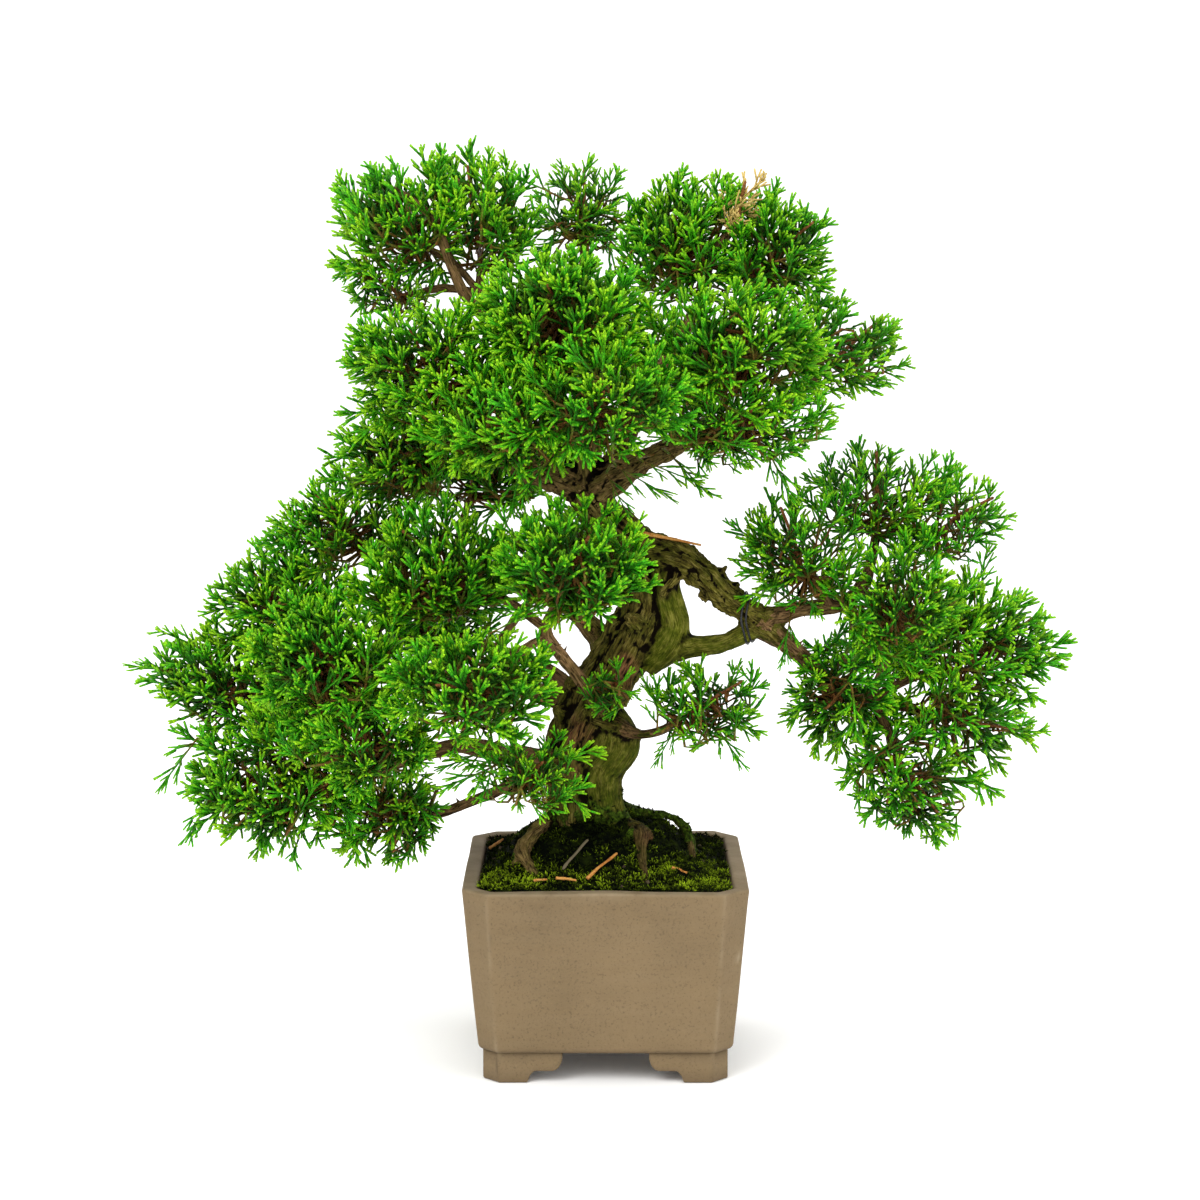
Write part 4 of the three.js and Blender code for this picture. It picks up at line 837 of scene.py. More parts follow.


# bark: dark cracks and pale ridges run along the limb; the smooth strands are mottled olive, and green algae
# tint all; painted light and shade darken it low down and in the crevices
def barkMaterial():
    material, tree, shader = newMaterial("juniper bark", 0.9, 0.06)
    w = woodSettings
    places = attributeOf(tree, "barkPlace", "Vector")
    fine = addNoise(tree, places, 1.3, 6, 0.72)
    broad = addNoise(tree, places, 0.3, 4, 0.6, 0.4)
    spots = addNoise(tree, objectPlace(tree), 210, 4, 0.65)
    mixed = plus(tree, times(tree, fine, 0.6), times(tree, spots, 0.4))
    brown = addRamp(tree, mixed, [(0.36, w["brownDark"]), (0.49, w["brown"]), (0.64, w["tan"])])
    limb = addRamp(tree, mixed, [(0.34, w["brown"]), (0.5, w["limbBrown"]),
                                 (0.66, scaled(w["limbBrown"], 2.2))])
    brown = addMix(tree, attributeOf(tree, "woodLimb"), brown, limb)
    red = addRamp(tree, fine, [(0.34, scaled(w["red"], 0.25)), (0.52, w["red"]),
                               (0.72, scaled(w["red"], 2.0))])
    brown = addMix(tree, times(tree, attributeOf(tree, "woodRed"), 0.85), brown, red)
    olive = addRamp(tree, mixed, [(0.38, w["oliveDark"]), (0.49, w["olive"]), (0.61, w["olivePale"])])
    tone = plus(tree, attributeOf(tree, "woodOlive"),
                   times(tree, minus(tree, broad, 0.5), 1.3), clamp=True)
    colour = addMix(tree, tone, brown, olive)
    # painted light and shade, by height and on the roots
    colour = addMix(tree, 1.0, colour, times(tree, attributeOf(tree, "woodPaintedLight"), 1.3), "MULTIPLY")
    # algae: green patches as large as a fingertip, none where the bark is red
    algae = addRamp(tree, addNoise(tree, objectPlace(tree), 55, 5, 0.7), [(0.44, 0), (0.66, 0.62)])
    algae = times(tree, algae, minus(tree, 1.0, attributeOf(tree, "woodLimb")))
    colour = addMix(tree, algae, colour, w["green"])
    # cracks: where a drawn-out noise passes its middle value, wide on rough bark and hairlines on smooth wood
    ridge = addMath(tree, "ABSOLUTE", minus(tree, addNoise(tree, places, 0.62, 3, 0.6, 0.6), 0.5))
    crack = addRamp(tree, ridge, [(0.006, 0.85), (0.045, 0)])
    crack = times(tree, crack, minus(tree, 1.0, times(tree, tone, 0.5)))
    colour = addMix(tree, crack, colour, w["crevice"])
    # painted shade in the crevices, from how far the skin sinks below its neighbours
    cavityShade = addRamp(tree, attributeOf(tree, "woodCavityShade"), [(0.48, 0), (0.76, 1)])
    colour = addMix(tree, cavityShade, colour, w["crevice"])
    felt = addNoise(tree, objectPlace(tree), 520, 4, 0.7)
    mossColour = addRamp(tree, felt, [(0.36, scaled(w["moss"], 0.2)), (0.5, w["moss"]),
                                      (0.66, scaled(w["moss"], 3.2))])
    moss = times(tree, attributeOf(tree, "woodMoss"), addNoise(tree, objectPlace(tree), 200, 5, 0.7))
    colour = addMix(tree, addRamp(tree, moss, [(0.3, 0), (0.46, 1)]), colour, mossColour)
    paint(tree, colour, shader)
    height = plus(tree, fine, times(tree, addNoise(tree, places, 4.2, 3, 0.6), 0.4))
    height = minus(tree, height, times(tree, crack, 0.8))
    addBump(tree, height, 0.6, 0.0011, shader)
    return material


bark = barkMaterial()


# wood: the skin, thin limbs and twigs as tubes, and the stubs, with the colours' shares at each point
def makeWood():
    skin, quads, places, olive, cavityShade, moss, red = dressedWood()
    points, quadLists, triangleLists, placeLists, cavityShadeLists = [skin], [quads], [], [places], [cavityShade]
    count = len(skin)
    tubes = [(limbPaths[name], 12, k + 5) for k, name in enumerate(thinLimbs)]
    tubes += [(path, 10, k + 30) for k, path in enumerate(extraLimbs)]
    tubes += [(path, 6, k + 40) for k, path in enumerate(padTwigs.values())]
    for path, sides, seed in tubes:
        tube, tubeQuads, tubeTriangles, tubePlaces, tubeCavityShade = barkTube(path, sides, seed)
        points.append(tube)
        quadLists.append(tubeQuads + count)
        triangleLists.append(tubeTriangles + count)
        placeLists.append(tubePlaces)
        cavityShadeLists.append(tubeCavityShade)
        count += len(tube)
    stubs, stubFaces, stubPlaces, stubCavityShade = limbStubs(np.random.default_rng(55))
    points = np.concatenate(points + [stubs])
    triangleLists.append(stubFaces + count)
    placeLists.append(stubPlaces)
    cavityShadeLists.append(stubCavityShade)
    rest = len(points) - len(skin)
    # reddish brown on the crown's limbs, on the roots and along the thin limbs, more so away from the
    # trunk's middle
    trunkAxis = np.array(trunkPath, float)
    fromTrunk = np.hypot(points[:, 0] - np.interp(points[:, 2], trunkAxis[:, 2], trunkAxis[:, 0]),
                         points[:, 1] - np.interp(points[:, 2], trunkAxis[:, 2], trunkAxis[:, 1]))
    isRoot = smoothStep(14, 19, fromTrunk) * smoothStep(112, 109, points[:, 2])
    brownShare = np.maximum(0.6 * smoothStep(240, 262, points[:, 2]), 0.6 * isRoot)
    brownShare[len(skin):] = 0.25 + 0.6 * smoothStep(14, 34, fromTrunk[len(skin):])
    # painted light and shade: darker low down, brighter from mid-trunk up, a little darker in the crown;
    # roots on the left brighter, the others darker, and darker where moss grows
    paintedLight = 0.8 + 0.45 * smoothStep(148, 188, points[:, 2]) - 0.2 * smoothStep(215, 235, points[:, 2])
    paintedLight = paintedLight + isRoot * np.where(points[:, 0] < 0, 0.5, -0.15)
    paintedLight = np.minimum(paintedLight * (1 - 0.4 * np.concatenate([moss, np.zeros(rest)])), 1.3) / 1.3
    values = {"barkPlace": np.concatenate(placeLists), "woodCavityShade": np.concatenate(cavityShadeLists)}
    values.update({"woodLimb": brownShare, "woodPaintedLight": paintedLight})
    for title, onSkin, onTubes in (("woodOlive", olive, 0.0), ("woodMoss", moss, 0.0),
                                   ("woodRed", red, 0.15)):
        values[title] = np.concatenate([onSkin, np.full(rest, onTubes)])
    meshPiece("wood", points, quadLists + triangleLists, bark, replaced=["trunk"], attributes=values)
    return (skin, vertexNormals(skin, quads), moss), points


# foliage pads: middle, half sizes and the limb that ends in the pad; the others hang on a twig from the
# nearest limb
padPlaces = {
    "crown_far_left": ((-92, 12, 384), (33, 26, 26), None),
    "crown_left": ((-60, 18, 383), (27, 26, 29), "topLeft"),
    "crown_left_tail": ((-98, 12, 352), (21, 18, 15), None),
    "crown_back": ((-10, 56, 388), (24, 20, 22), "back"),
    "crown_right": ((38, 20, 374), (32, 26, 30), "topRight"),
    "crown_far_right": ((78, 12, 368), (26, 24, 27), None),
    "front_top": ((-20, -62, 345), (38, 30, 28), "leader"),
    "front_left": ((-79, -34, 319), (38, 30, 28), None),
    "right_shoulder": ((109, 2, 325), (29, 26, 23), "crownRight"),
    "front_right": ((60, -48, 329), (36, 28, 27), None),
    "front_right_low": ((59, -44, 295), (38, 26, 19), None),
    "front_low": ((-2, -84, 306), (36, 28, 24), None),
    "front_low_left": ((-42, -66, 296), (33, 28, 24), None),
    "left_shoulder": ((-97, 0, 274), (27, 26, 25), "crownLeft"),
    "left_upper": ((-118, 10, 245), (30, 26, 22), "leftHigh"),
    "middle_front": ((-13, -88, 239), (34, 26, 26), "frontArm"),
    "middle_left": ((-72, -42, 233), (36, 28, 26), None),
    "far_left_upper": ((-151, 8, 209), (30, 24, 26), None),
    "far_left": ((-178, 5, 171), (37, 26, 24), "leftMiddle"),
    "left_front": ((-124, -58, 194), (35, 28, 30), None),
    "front_left_deep": ((-57, -94, 187), (37, 26, 25), None),
    "left_low": ((-153, -28, 131), (38, 28, 33), "leftLow"),
    "bottom_left": ((-97, -12, 112), (27, 24, 23), "leftBottom"),
    "left_low_front": ((-105, -66, 156), (32, 24, 21), None),
    "trunk_front": ((-32, -70, 145), (23, 17, 18), None),
    "trunk_right": ((45, -28, 168), (27, 20, 21), "frontTwig"),
    "trunk_sprig": ((0, -32, 176), (13, 12, 13), None),
    "right_upper": ((124, 12, 260), (34, 28, 21), "rightHigh"),
    "right_far_upper": ((160, 6, 248), (26, 24, 20), None),
    "right_inner": ((85, -20, 237), (26, 22, 27), None),
    "right_far": ((177, 2, 188), (33, 26, 31), None),
    "right_middle": ((134, -26, 214), (29, 24, 27), None),
    "right_low_inner": ((105, -13, 167), (26, 22, 29), None),
    "right_bottom": ((141, -10, 128), (27, 24, 30), None),
    "right_low": ((166, -6, 155), (29, 24, 30), "rightLow"),
    "back_top": ((-21, 92, 328), (35, 27, 28), None),
    "back_top_right": ((41, 94, 309), (35, 26, 26), None),
    "back_top_left": ((-62, 62, 266), (38, 26, 28), None),
    "back_middle": ((-22, 90, 217), (33, 25, 24), None),
    "back_left": ((-85, 90, 187), (35, 27, 26), "backLow"),
    "back_far_left": ((-138, 68, 153), (32, 26, 26), None),
    "back_right": ((140, 62, 182), (30, 25, 24), None),
    "dead_spray": ((60, 0, 389), (13, 11, 13), None),
}
twigRadii = (3.2, 2.2, 1.7)


# twig to a pad: from the nearest place along the middle of a limb, in a shallow bow, into the pad
def twigPath(middle, half):
    best = None
    for name, path in limbPaths.items():
        if name == "knee":
            continue
        s = pathStations(path, 6.0)
        share = np.linspace(0, 1, len(s["run"]))
        distance = norm(s["centre"] - middle, axis=1) + np.maximum(s["centre"][:, 2] - middle[2], 0) * 0.6
        distance[(share <= 0.3) | (share >= 0.84)] = np.inf
        k = int(distance.argmin())
        if best is None or distance[k] < best[0]:
            best = (distance[k], s["centre"][k], s["radius"][k])
    start, radius = best[1], best[2]
    span = norm(start - middle)
    end = start + (middle - start) * max(0.45, 1 - 0.55 * min(half[0], half[2]) / span)
    end[2] -= min(4, span * 0.08)
    bend = (start + end) / 2
    bend[2] += span * 0.06
    radii = (min(radius * 0.8, twigRadii[0]), twigRadii[1], twigRadii[2])
    return [(*point, r) for point, r in zip((start, bend, end), radii)]


padTwigs = {name: twigPath(np.array(middle, float), half)
            for name, (middle, half, limb) in padPlaces.items() if limb is None}
woodSkin, woodPoints = makeWood()
print("wood")


# soil: the mound of the solid with crumbs and grains, and moss that grows on it where the cover map says so
groundSettings = {
    "edge": 85.5, "mound": 106.5, "moundRadius": 52.0, "wallHalf": 57.0,
    "cushionTop": 109.5, "cushionEdge": 88.0,
    "crumbs": 120, "rosettesPerMm": 0.3, "rosettePitch": 2.45, "barkRosettes": 560,
    "soilDark": (0.012, 0.009, 0.006), "soilBrown": (0.05, 0.033, 0.02), "soilPale": (0.14, 0.1, 0.065),
    "mossDark": (0.001, 0.002, 0.0005), "mossMid": (0.024, 0.037, 0.002), "mossBright": (0.33, 0.48, 0.015),
}
mossMats = {
    "moss_left": ((-46.5, -31), (6.2, 17)),
    "moss_right": ((37, -32), (14, 18)),
    "moss_back": ((14, 44), (20, 7.5)),
}


# mound: a bell that falls off to the wall, with slow waves
def soilHeight(x, y):
    g = groundSettings
    wallFall = np.clip((g["wallHalf"] - np.maximum(abs(x), abs(y))) / 9, 0, 1)
    mound = np.exp(-1.5 * ((x + 3) ** 2 + y ** 2) / g["moundRadius"] ** 2) * wallFall
    lumps = np.sin(x * 0.31 + 1.3) * np.cos(y * 0.27 + 0.4) + np.sin((x + y) * 0.17)
    calm = np.clip(3.6 - np.maximum(abs(x), abs(y)) / potSettings["rimHalf"] * 4, 0, 1)
    return g["edge"] + (g["mound"] - g["edge"]) * mound + lumps * 0.9 * calm


# the pot's inside at some height
def innerReach(angle, height):
    return potReach(angle, height, potSettings["wall"] + 0.5)


# crumbs: rounded value noise at two sizes, sharper on top
def soilTop(x, y):
    places = np.stack([x, y, np.zeros_like(x)], axis=-1)
    crumbs = np.abs(valueNoise(places * 0.55, 61)) * 1.1 + np.abs(valueNoise(places * 1.1, 62)) * 0.55
    return soilHeight(x, y) + crumbs - 0.75


# soil: rings from the underside's middle, raised over the mesh, out to the wall, up, and in over the mound
def makeSoil():
    g = groundSettings
    columns = 96
    angle = np.arange(columns) / columns * fullTurn
    rings = []
    square = 15.4 / np.maximum(np.abs(np.cos(angle)), np.abs(np.sin(angle)))
    floor = potSettings["floorTop"] + 0.35
    for reach, height in ((square * 0.1, floor + 1.75), (square, floor + 1.75), (square, floor),
                          (innerReach(angle, 26) - 3.4, floor), (innerReach(angle, 27), floor + 4)):
        rings.append(np.stack([reach * np.cos(angle), reach * np.sin(angle), np.full(columns, height)],
                              axis=-1))
    edge = innerReach(angle, 83.5)
    for share in 1 - np.linspace(0, 0.985, 40) ** 0.9:
        x, y = edge * share * np.cos(angle), edge * share * np.sin(angle)
        height = soilTop(x, y)
        rings.append(np.stack([x, y, height], axis=-1))
    surface = np.array(rings)
    quads = gridQuads(len(rings), columns)
    points = surface.reshape(-1, 3)
    ends = np.array([[0, 0, floor + 1.75], [0, 0, points[-columns:, 2].mean()]])
    fans = poleFans(len(rings), columns, len(points))
    points = np.concatenate([points, ends])
    # loose grains: lumps with eight corners and twelve faces, half sunk in the surface
    random = np.random.default_rng(71)
    turn = random.uniform(0, fullTurn, g["crumbs"])
    reach = innerReach(turn, 83.5) * np.sqrt(random.uniform(0.0, 0.94, g["crumbs"]))
    x, y = reach * np.cos(turn), reach * np.sin(turn)
    size = random.uniform(0.6, 1.5, g["crumbs"]) * random.uniform(0.7, 1.1, g["crumbs"])
    corners = np.array([[i, j, k] for k in (-1, 1) for j in (-1, 1) for i in (-1, 1)], float) / math.sqrt(3)
    faces = np.array([[0, 2, 3, 1], [4, 5, 7, 6], [0, 1, 5, 4], [2, 6, 7, 3], [0, 4, 6, 2], [1, 3, 7, 5]])
    spin = random.normal(size=(g["crumbs"], 3, 3))
    spin, _ = np.linalg.qr(spin)
    spin[np.linalg.det(spin) < 0, 0] *= -1
    lumps = np.einsum("cij,kj->cki", spin, corners) * (size[:, None, None]
                                                       * random.uniform(0.75, 1.25, (g["crumbs"], 8, 1)))
    lumps += np.stack([x, y, soilTop(x, y) + size * 0.35], axis=1)[:, None]
    lumpFaces = (faces[None] + np.arange(g["crumbs"])[:, None, None] * 8 + len(points)).reshape(-1, 4)
    tone = np.concatenate([np.clip(0.35 + 0.5 * valueNoise(points * 0.6, 63), 0, 1),
                           np.repeat(random.uniform(0.2, 1.0, g["crumbs"]), 8)])
    points = np.concatenate([points, lumps.reshape(-1, 3)])
    material, tree, shader = newMaterial("potting soil", 0.92, 0.2)
    place = objectPlace(tree)
    grain = addNoise(tree, place, 700, 4, 0.65)
    mixed = plus(tree, times(tree, grain, 0.75), times(tree, attributeOf(tree, "soilTone"), 0.35))
    colour = addRamp(tree, mixed, [(0.32, g["soilDark"]), (0.58, g["soilBrown"]), (0.86, g["soilPale"])])
    paint(tree, colour, shader)
    addBump(tree, grain, 0.8, 0.0012, shader)
    meshPiece("soil_surface", points, [quads, lumpFaces, fans], material,
              attributes={"soilTone": tone}, replaced=["soil"], smooth=False)


def mossMaterial():
    g = groundSettings
    material, tree, shader = newMaterial("moss", 0.9, 0.05)
    place = objectPlace(tree)
    patch = times(tree, minus(tree, addNoise(tree, place, 190, 3, 0.6), 0.5), 0.8)
    # dark at the foot of each leaf and bright at its tip, partly painted shade and light, the more so the
    # brighter the spot
    lit = times(tree, attributeOf(tree, "mossTip"),
                  plus(tree, times(tree, attributeOf(tree, "mossTone"), 0.95), 0.22))
    colour = addRamp(tree, plus(tree, lit, patch, clamp=True),
                     [(0.02, g["mossDark"]), (0.4, g["mossMid"]), (0.95, g["mossBright"])])
    paint(tree, colour, shader)
    addBump(tree, addNoise(tree, place, 1400, 2, 0.6), 0.6, 0.0006, shader)
    return material


# moss rosettes: from each root a ball of slim three-sided leaves stands out to all sides but down
def mossRosettes(roots, normals, sizes, tones, random, perRosette, first=0):
    count = len(roots) * perRosette
    spread = random.normal(size=(len(roots), perRosette, 3))
    spread = unit(spread)
    lean = spread + normals[:, None] * 0.85
    lean = unit(lean).reshape(-1, 3)
    lengths = (sizes[:, None] * random.uniform(0.7, 1.2, (len(roots), perRosette))).ravel()
    base = np.repeat(roots, perRosette, axis=0)
    side = np.cross(lean, random.normal(size=(count, 3)))
    side = unit(side)
    other = np.cross(lean, side)
    angle = np.arange(3) / 3 * fullTurn
    width = lengths * random.uniform(0.15, 0.23, count)
    foot = base[:, None] + lean[:, None] * lengths[:, None, None] * 0.25
    foot = foot + ringAround(side, other, angle) * width[:, None, None]
    tips = base + lean * lengths[:, None]
    points = np.concatenate([foot, tips[:, None]], axis=1).reshape(-1, 3)
    faces = np.array([[0, 1, 3], [1, 2, 3], [2, 0, 3], [0, 2, 1]])
    faces = (faces[None] + np.arange(count)[:, None, None] * 4 + first).reshape(-1, 3)
    values = {"mossTip": np.tile([0.0, 0.0, 0.0, 1.0], count), "mossTone": np.repeat(tones, perRosette * 4)}
    return points, faces, values


# brightness of moss from above: painted light in the two front corners and on the left flank, painted shade
# towards the trunk, over random patches of tone
def mossBrightness(points):
    x, y = points[:, 0], points[:, 1]
    mossLight = smoothStep(24, 50, np.hypot(x + 4, y)) * smoothStep(10, -45, y)
    return np.clip(-0.02 + 0.62 * mossLight + 0.45 * valueNoise(points * 0.17, 93)
                   + 0.45 * valueNoise(points * 0.5, 94), 0, 1)


# thickness of a mat: lumpy, and down to nothing at its outline
def mossRise(x, y, share):
    places = np.stack([x, y, np.zeros_like(x)], axis=-1)
    return (2.4 + 0.8 * valueNoise(places * 0.42, 81) + 0.5 * valueNoise(places * 0.9, 82)) * (1 - share ** 4)


# mat: a lumpy cushion on the soil, thick with rosettes
def makeMossMat(name, middle, half, material, seed):
    random = np.random.default_rng(seed)
    rings, columns = 20, 60
    angle = np.arange(columns) / columns * fullTurn

    def outline(turn):
        return 1 + 0.1 * np.sin(3 * turn + middle[0]) - 0.06 * np.cos(5 * turn)

    share = np.linspace(0, 1, rings)[1:, None]
    x = middle[0] + np.cos(angle) * half[0] * outline(angle) * share
    y = middle[1] + np.sin(angle) * half[1] * outline(angle) * share
    top = np.stack([x, y, soilHeight(x, y) + mossRise(x, y, share)], axis=-1)
    skirt = np.stack([x[-1], y[-1], soilHeight(x[-1], y[-1]) - 1.6], axis=-1)
    points = np.concatenate([top.reshape(-1, 3), skirt,
                             [[*middle, top[0, :, 2].mean()],
                              [*middle, soilHeight(*map(float, middle)) - 1.6]]])
    quads = gridQuads(rings, columns)[:, ::-1]
    fans = poleFans(rings, columns, len(points) - 2, flipped=True)
    count = int(math.pi * half[0] * half[1] * groundSettings["rosettesPerMm"])
    turn = random.uniform(0, fullTurn, count)
    out = np.sqrt(random.uniform(0, 1.0, count))
    px = middle[0] + np.cos(turn) * half[0] * outline(turn) * out
    py = middle[1] + np.sin(turn) * half[1] * outline(turn) * out
    roots = np.stack([px, py, soilHeight(px, py) + mossRise(px, py, out)], axis=-1)
    normals = np.stack([np.cos(turn) * out * 0.5, np.sin(turn) * out * 0.5, np.ones(count)], axis=-1)
    leaves, faces, values = mossRosettes(roots, normals, random.uniform(1.2, 2.2, count),
                                         mossBrightness(roots), random, 12, len(points))
    meshPiece(name, np.concatenate([points, leaves]), [quads, fans, faces], material, attributes={
        "mossTip": np.concatenate([np.zeros(len(points)), values["mossTip"]]),
        "mossTone": np.concatenate([mossBrightness(points) * 0.5, values["mossTone"]])}, replaced=[name],
              smooth=False)


# top of the moss carpet: it stays high round the trunk's foot, falls off towards the wall, and is lumpy
# everywhere
def carpetTop(x, y):
    g = groundSettings
    reach = np.hypot((x + 2) * 1.2, y * 1.25)
    fall = np.clip(1 - (np.maximum(reach - 20, 0) / 38) ** 2, 0, 1)
    places = np.stack([x, y, np.zeros_like(x)], axis=-1)
    lumps = 1.5 * layeredNoise(places * 0.12, 97, 2) + 0.9 * valueNoise(places * 0.35, 98)
    wall = np.clip((g["wallHalf"] - np.maximum(abs(x), abs(y))) / 6, 0, 1)
    cushion = g["cushionEdge"] + (g["cushionTop"] - g["cushionEdge"]) * fall * wall + lumps * wall
    return np.maximum(cushion, soilHeight(x, y) + 0.4)


# carpet: a lumpy cushion over all the soil, closed from below inside it, with rosettes on a jittered grid,
# which also climb the trunk's foot where the bark is mossy
def makeMossCarpet(material, wood):
    random = np.random.default_rng(91)
    rings, columns = 44, 96
    turn = np.arange(columns) / columns * fullTurn
    share = np.linspace(0.04, 1, rings)[:, None]
    out = (innerReach(turn, 85.5) - 0.3) * share
    x, y = out * np.cos(turn), out * np.sin(turn)
    top = np.stack([x, y, carpetTop(x, y) - 1.5 * (share > 0.995)], axis=-1)
    under = np.stack([x[::-6], y[::-6], soilHeight(x[::-6], y[::-6]) - 2.5], axis=-1)
    rows = rings + len(under)
    points = np.concatenate([top.reshape(-1, 3), under.reshape(-1, 3),
                             [[0, 0, top[0, :, 2].mean()], [0, 0, under[-1, :, 2].mean()]]])
    fans = poleFans(rows, columns, len(points) - 2, flipped=True)
    quads = gridQuads(rows, columns)[:, ::-1]
    pitch = groundSettings["rosettePitch"]
    column, row = np.meshgrid(np.arange(-28, 29), np.arange(-28, 29))
    spots = np.stack([column.ravel(), row.ravel()], axis=1) * pitch
    spots = spots + random.uniform(-0.45, 0.45, spots.shape) * pitch
    reach = innerReach(np.arctan2(spots[:, 1], spots[:, 0]), 85.0)
    spots = spots[(np.hypot(spots[:, 0], spots[:, 1]) < reach - 0.6)
                  & (np.hypot(spots[:, 0] + 6, spots[:, 1]) > 14)]
    roots = np.stack([spots[:, 0], spots[:, 1], carpetTop(spots[:, 0], spots[:, 1])], axis=1)
    normals = np.tile([0.0, 0.0, 1.0], (len(roots), 1))
    places, directions, cover = wood
    mossy = random.permutation(np.flatnonzero(cover > 0.45))[:groundSettings["barkRosettes"]]
    roots = np.concatenate([roots, places[mossy]])
    normals = np.concatenate([normals, directions[mossy]])
    sizes = np.concatenate([random.uniform(1.3, 2.6, len(roots) - len(mossy)),
                            random.uniform(0.6, 1.6, len(mossy))])
    sizes *= 0.9 + 0.55 * mossBrightness(roots)
    leafPoints, leafFaces, values = mossRosettes(roots, normals, sizes, mossBrightness(roots), random, 10,
                                                 len(points))
    meshPiece("moss_carpet", np.concatenate([points, leafPoints]), [quads, fans, leafFaces], material,
              attributes={
        "mossTip": np.concatenate([np.full(len(points), 0.1), values["mossTip"]]),
        "mossTone": np.concatenate([mossBrightness(points) * 0.4, values["mossTone"]])}, smooth=False)


makeSoil()
moss = mossMaterial()
for number, (name, (middle, half)) in enumerate(mossMats.items()):
    makeMossMat(name, middle, half, moss, 101 + number)
makeMossCarpet(moss, woodSkin)
print("soil and moss")


# foliage: cords clad in scale leaves, gathered in bushy sprays that stand all round a pad and point outwards
foliageSettings = {
    "areaPerSpray": 156.0, "airyArea": 205.0, "deadArea": 330.0, "innerShare": 0.17,
    "valleyFill": 0.36, "valleyPlace": 1.18, "valleyWidth": 0.26, "buried": 0.74,
    "rootDepth": 1.0, "padAim": (0.72, 0.5, 0.72), "groupAim": 0.5, "upwardAim": 0.34, "fanAim": 0.85,
    "strayAim": 0.3,
    "sprayLength": 29.0, "sideShoots": 6, "sideReach": 18.2, "sideTaper": 0.64, "cordRadius": 0.75,
    "scaleRow": 1.5,
    "tip": (0.36, 0.68, 0.007), "young": (0.066, 0.44, 0.003), "mature": (0.008, 0.18, 0.004),
    # inside: the darkest green, partly older foliage and partly painted shade
    "inside": (0.003, 0.036, 0.002),
    "twig": (0.2, 0.075, 0.02), "dry": (0.44, 0.28, 0.05), "dryPale": (0.68, 0.53, 0.2),
}


# three-sided cords, many at once: centres [cord, station, xyz], closed by a flat root and a pointed tip.
# Each value has one number for each station and one for the tip.
def cordSurfaces(centres, radii, values):
    cords, stations = centres.shape[:2]
    along = np.gradient(centres, axis=1)
    along /= np.maximum(norm(along, axis=2, keepdims=True), 1e-9)
    across = np.cross(along, np.array([0.31, 0.23, 0.92]))  # a way that cords seldom take
    across /= np.maximum(norm(across, axis=2, keepdims=True), 1e-9)
    up = np.cross(along, across)
    angle = np.arange(3) / 3 * fullTurn
    body = centres[:, :, None] + ringAround(across, up, angle) * radii[:, :, None, None]
    tips = centres[:, -1] + along[:, -1] * radii[:, -1, None] * 0.9
    size = stations * 3 + 1
    points = np.concatenate([body.reshape(cords, -1, 3), tips[:, None]], axis=1)
    run = np.concatenate([np.zeros((cords, 1)), np.cumsum(norm(np.diff(centres, axis=1), axis=2), axis=1)],
                         axis=1)
    rows = np.concatenate([run, run[:, -1:] + radii[:, -1:] * 1.5], axis=1) / foliageSettings["scaleRow"]
    faces, sideShare, station = [], [], []
    for k in range(stations - 1):
        for a in range(3):
            b = (a + 1) % 3
            faces += [[k * 3 + a, k * 3 + b, k * 3 + 3 + b], [k * 3 + a, k * 3 + 3 + b, k * 3 + 3 + a]]
            sideShare += [[a / 3, (a + 1) / 3, (a + 1) / 3], [a / 3, (a + 1) / 3, a / 3]]
            station += [[k, k, k + 1], [k, k + 1, k + 1]]
    last = (stations - 1) * 3
    for a in range(3):
        faces.append([last + a, last + (a + 1) % 3, size - 1])
        sideShare.append([a / 3, (a + 1) / 3, (a + 0.5) / 3])
        station.append([stations - 1, stations - 1, stations])
    faces.append([0, 2, 1])
    sideShare.append([0, 0.66, 0.33])
    station.append([0, 0, 0])
    faces, sideShare, station = np.array(faces), np.array(sideShare), np.array(station)
    allFaces = (faces[None] + np.arange(cords)[:, None, None] * size).reshape(-1, 3)
    uvs = np.stack([np.broadcast_to(sideShare[None], (cords, *sideShare.shape)), rows[:, station]], axis=-1)
    spread = {name: np.concatenate([np.repeat(value[:, :-1], 3, axis=1), value[:, -1:]], axis=1).ravel()
              for name, value in values.items()}
    return points.reshape(-1, 3), allFaces, uvs.reshape(-1, 3, 2), spread


# several surfaces as one, with their corner numbers moved on
def joinSurfaces(parts):
    points, faces, uvs, values, count = [], [], [], [], 0
    for partPoints, partFaces, partUvs, partValues in parts:
        points.append(partPoints)
        faces.append(partFaces + count)
        uvs.append(partUvs)
        values.append(partValues)
        count += len(partPoints)
    joined = {name: np.concatenate([value[name] for value in values]) for name in values[0]}
    return np.concatenate(points), np.concatenate(faces), np.concatenate(uvs), joined


# cord that curves from a start and a direction towards a second direction
def curvedCord(start, direction, bentTo, length, stations):
    share = np.linspace(0, 1, stations)[:, None]
    heading = direction * (1 - share * 0.5) + bentTo * share * 0.5
    heading = unit(heading)
    steps = np.concatenate([np.zeros((1, 3)), (heading[:-1] + heading[1:]) / 2 * length / (stations - 1)])
    return start + np.cumsum(steps, axis=0)


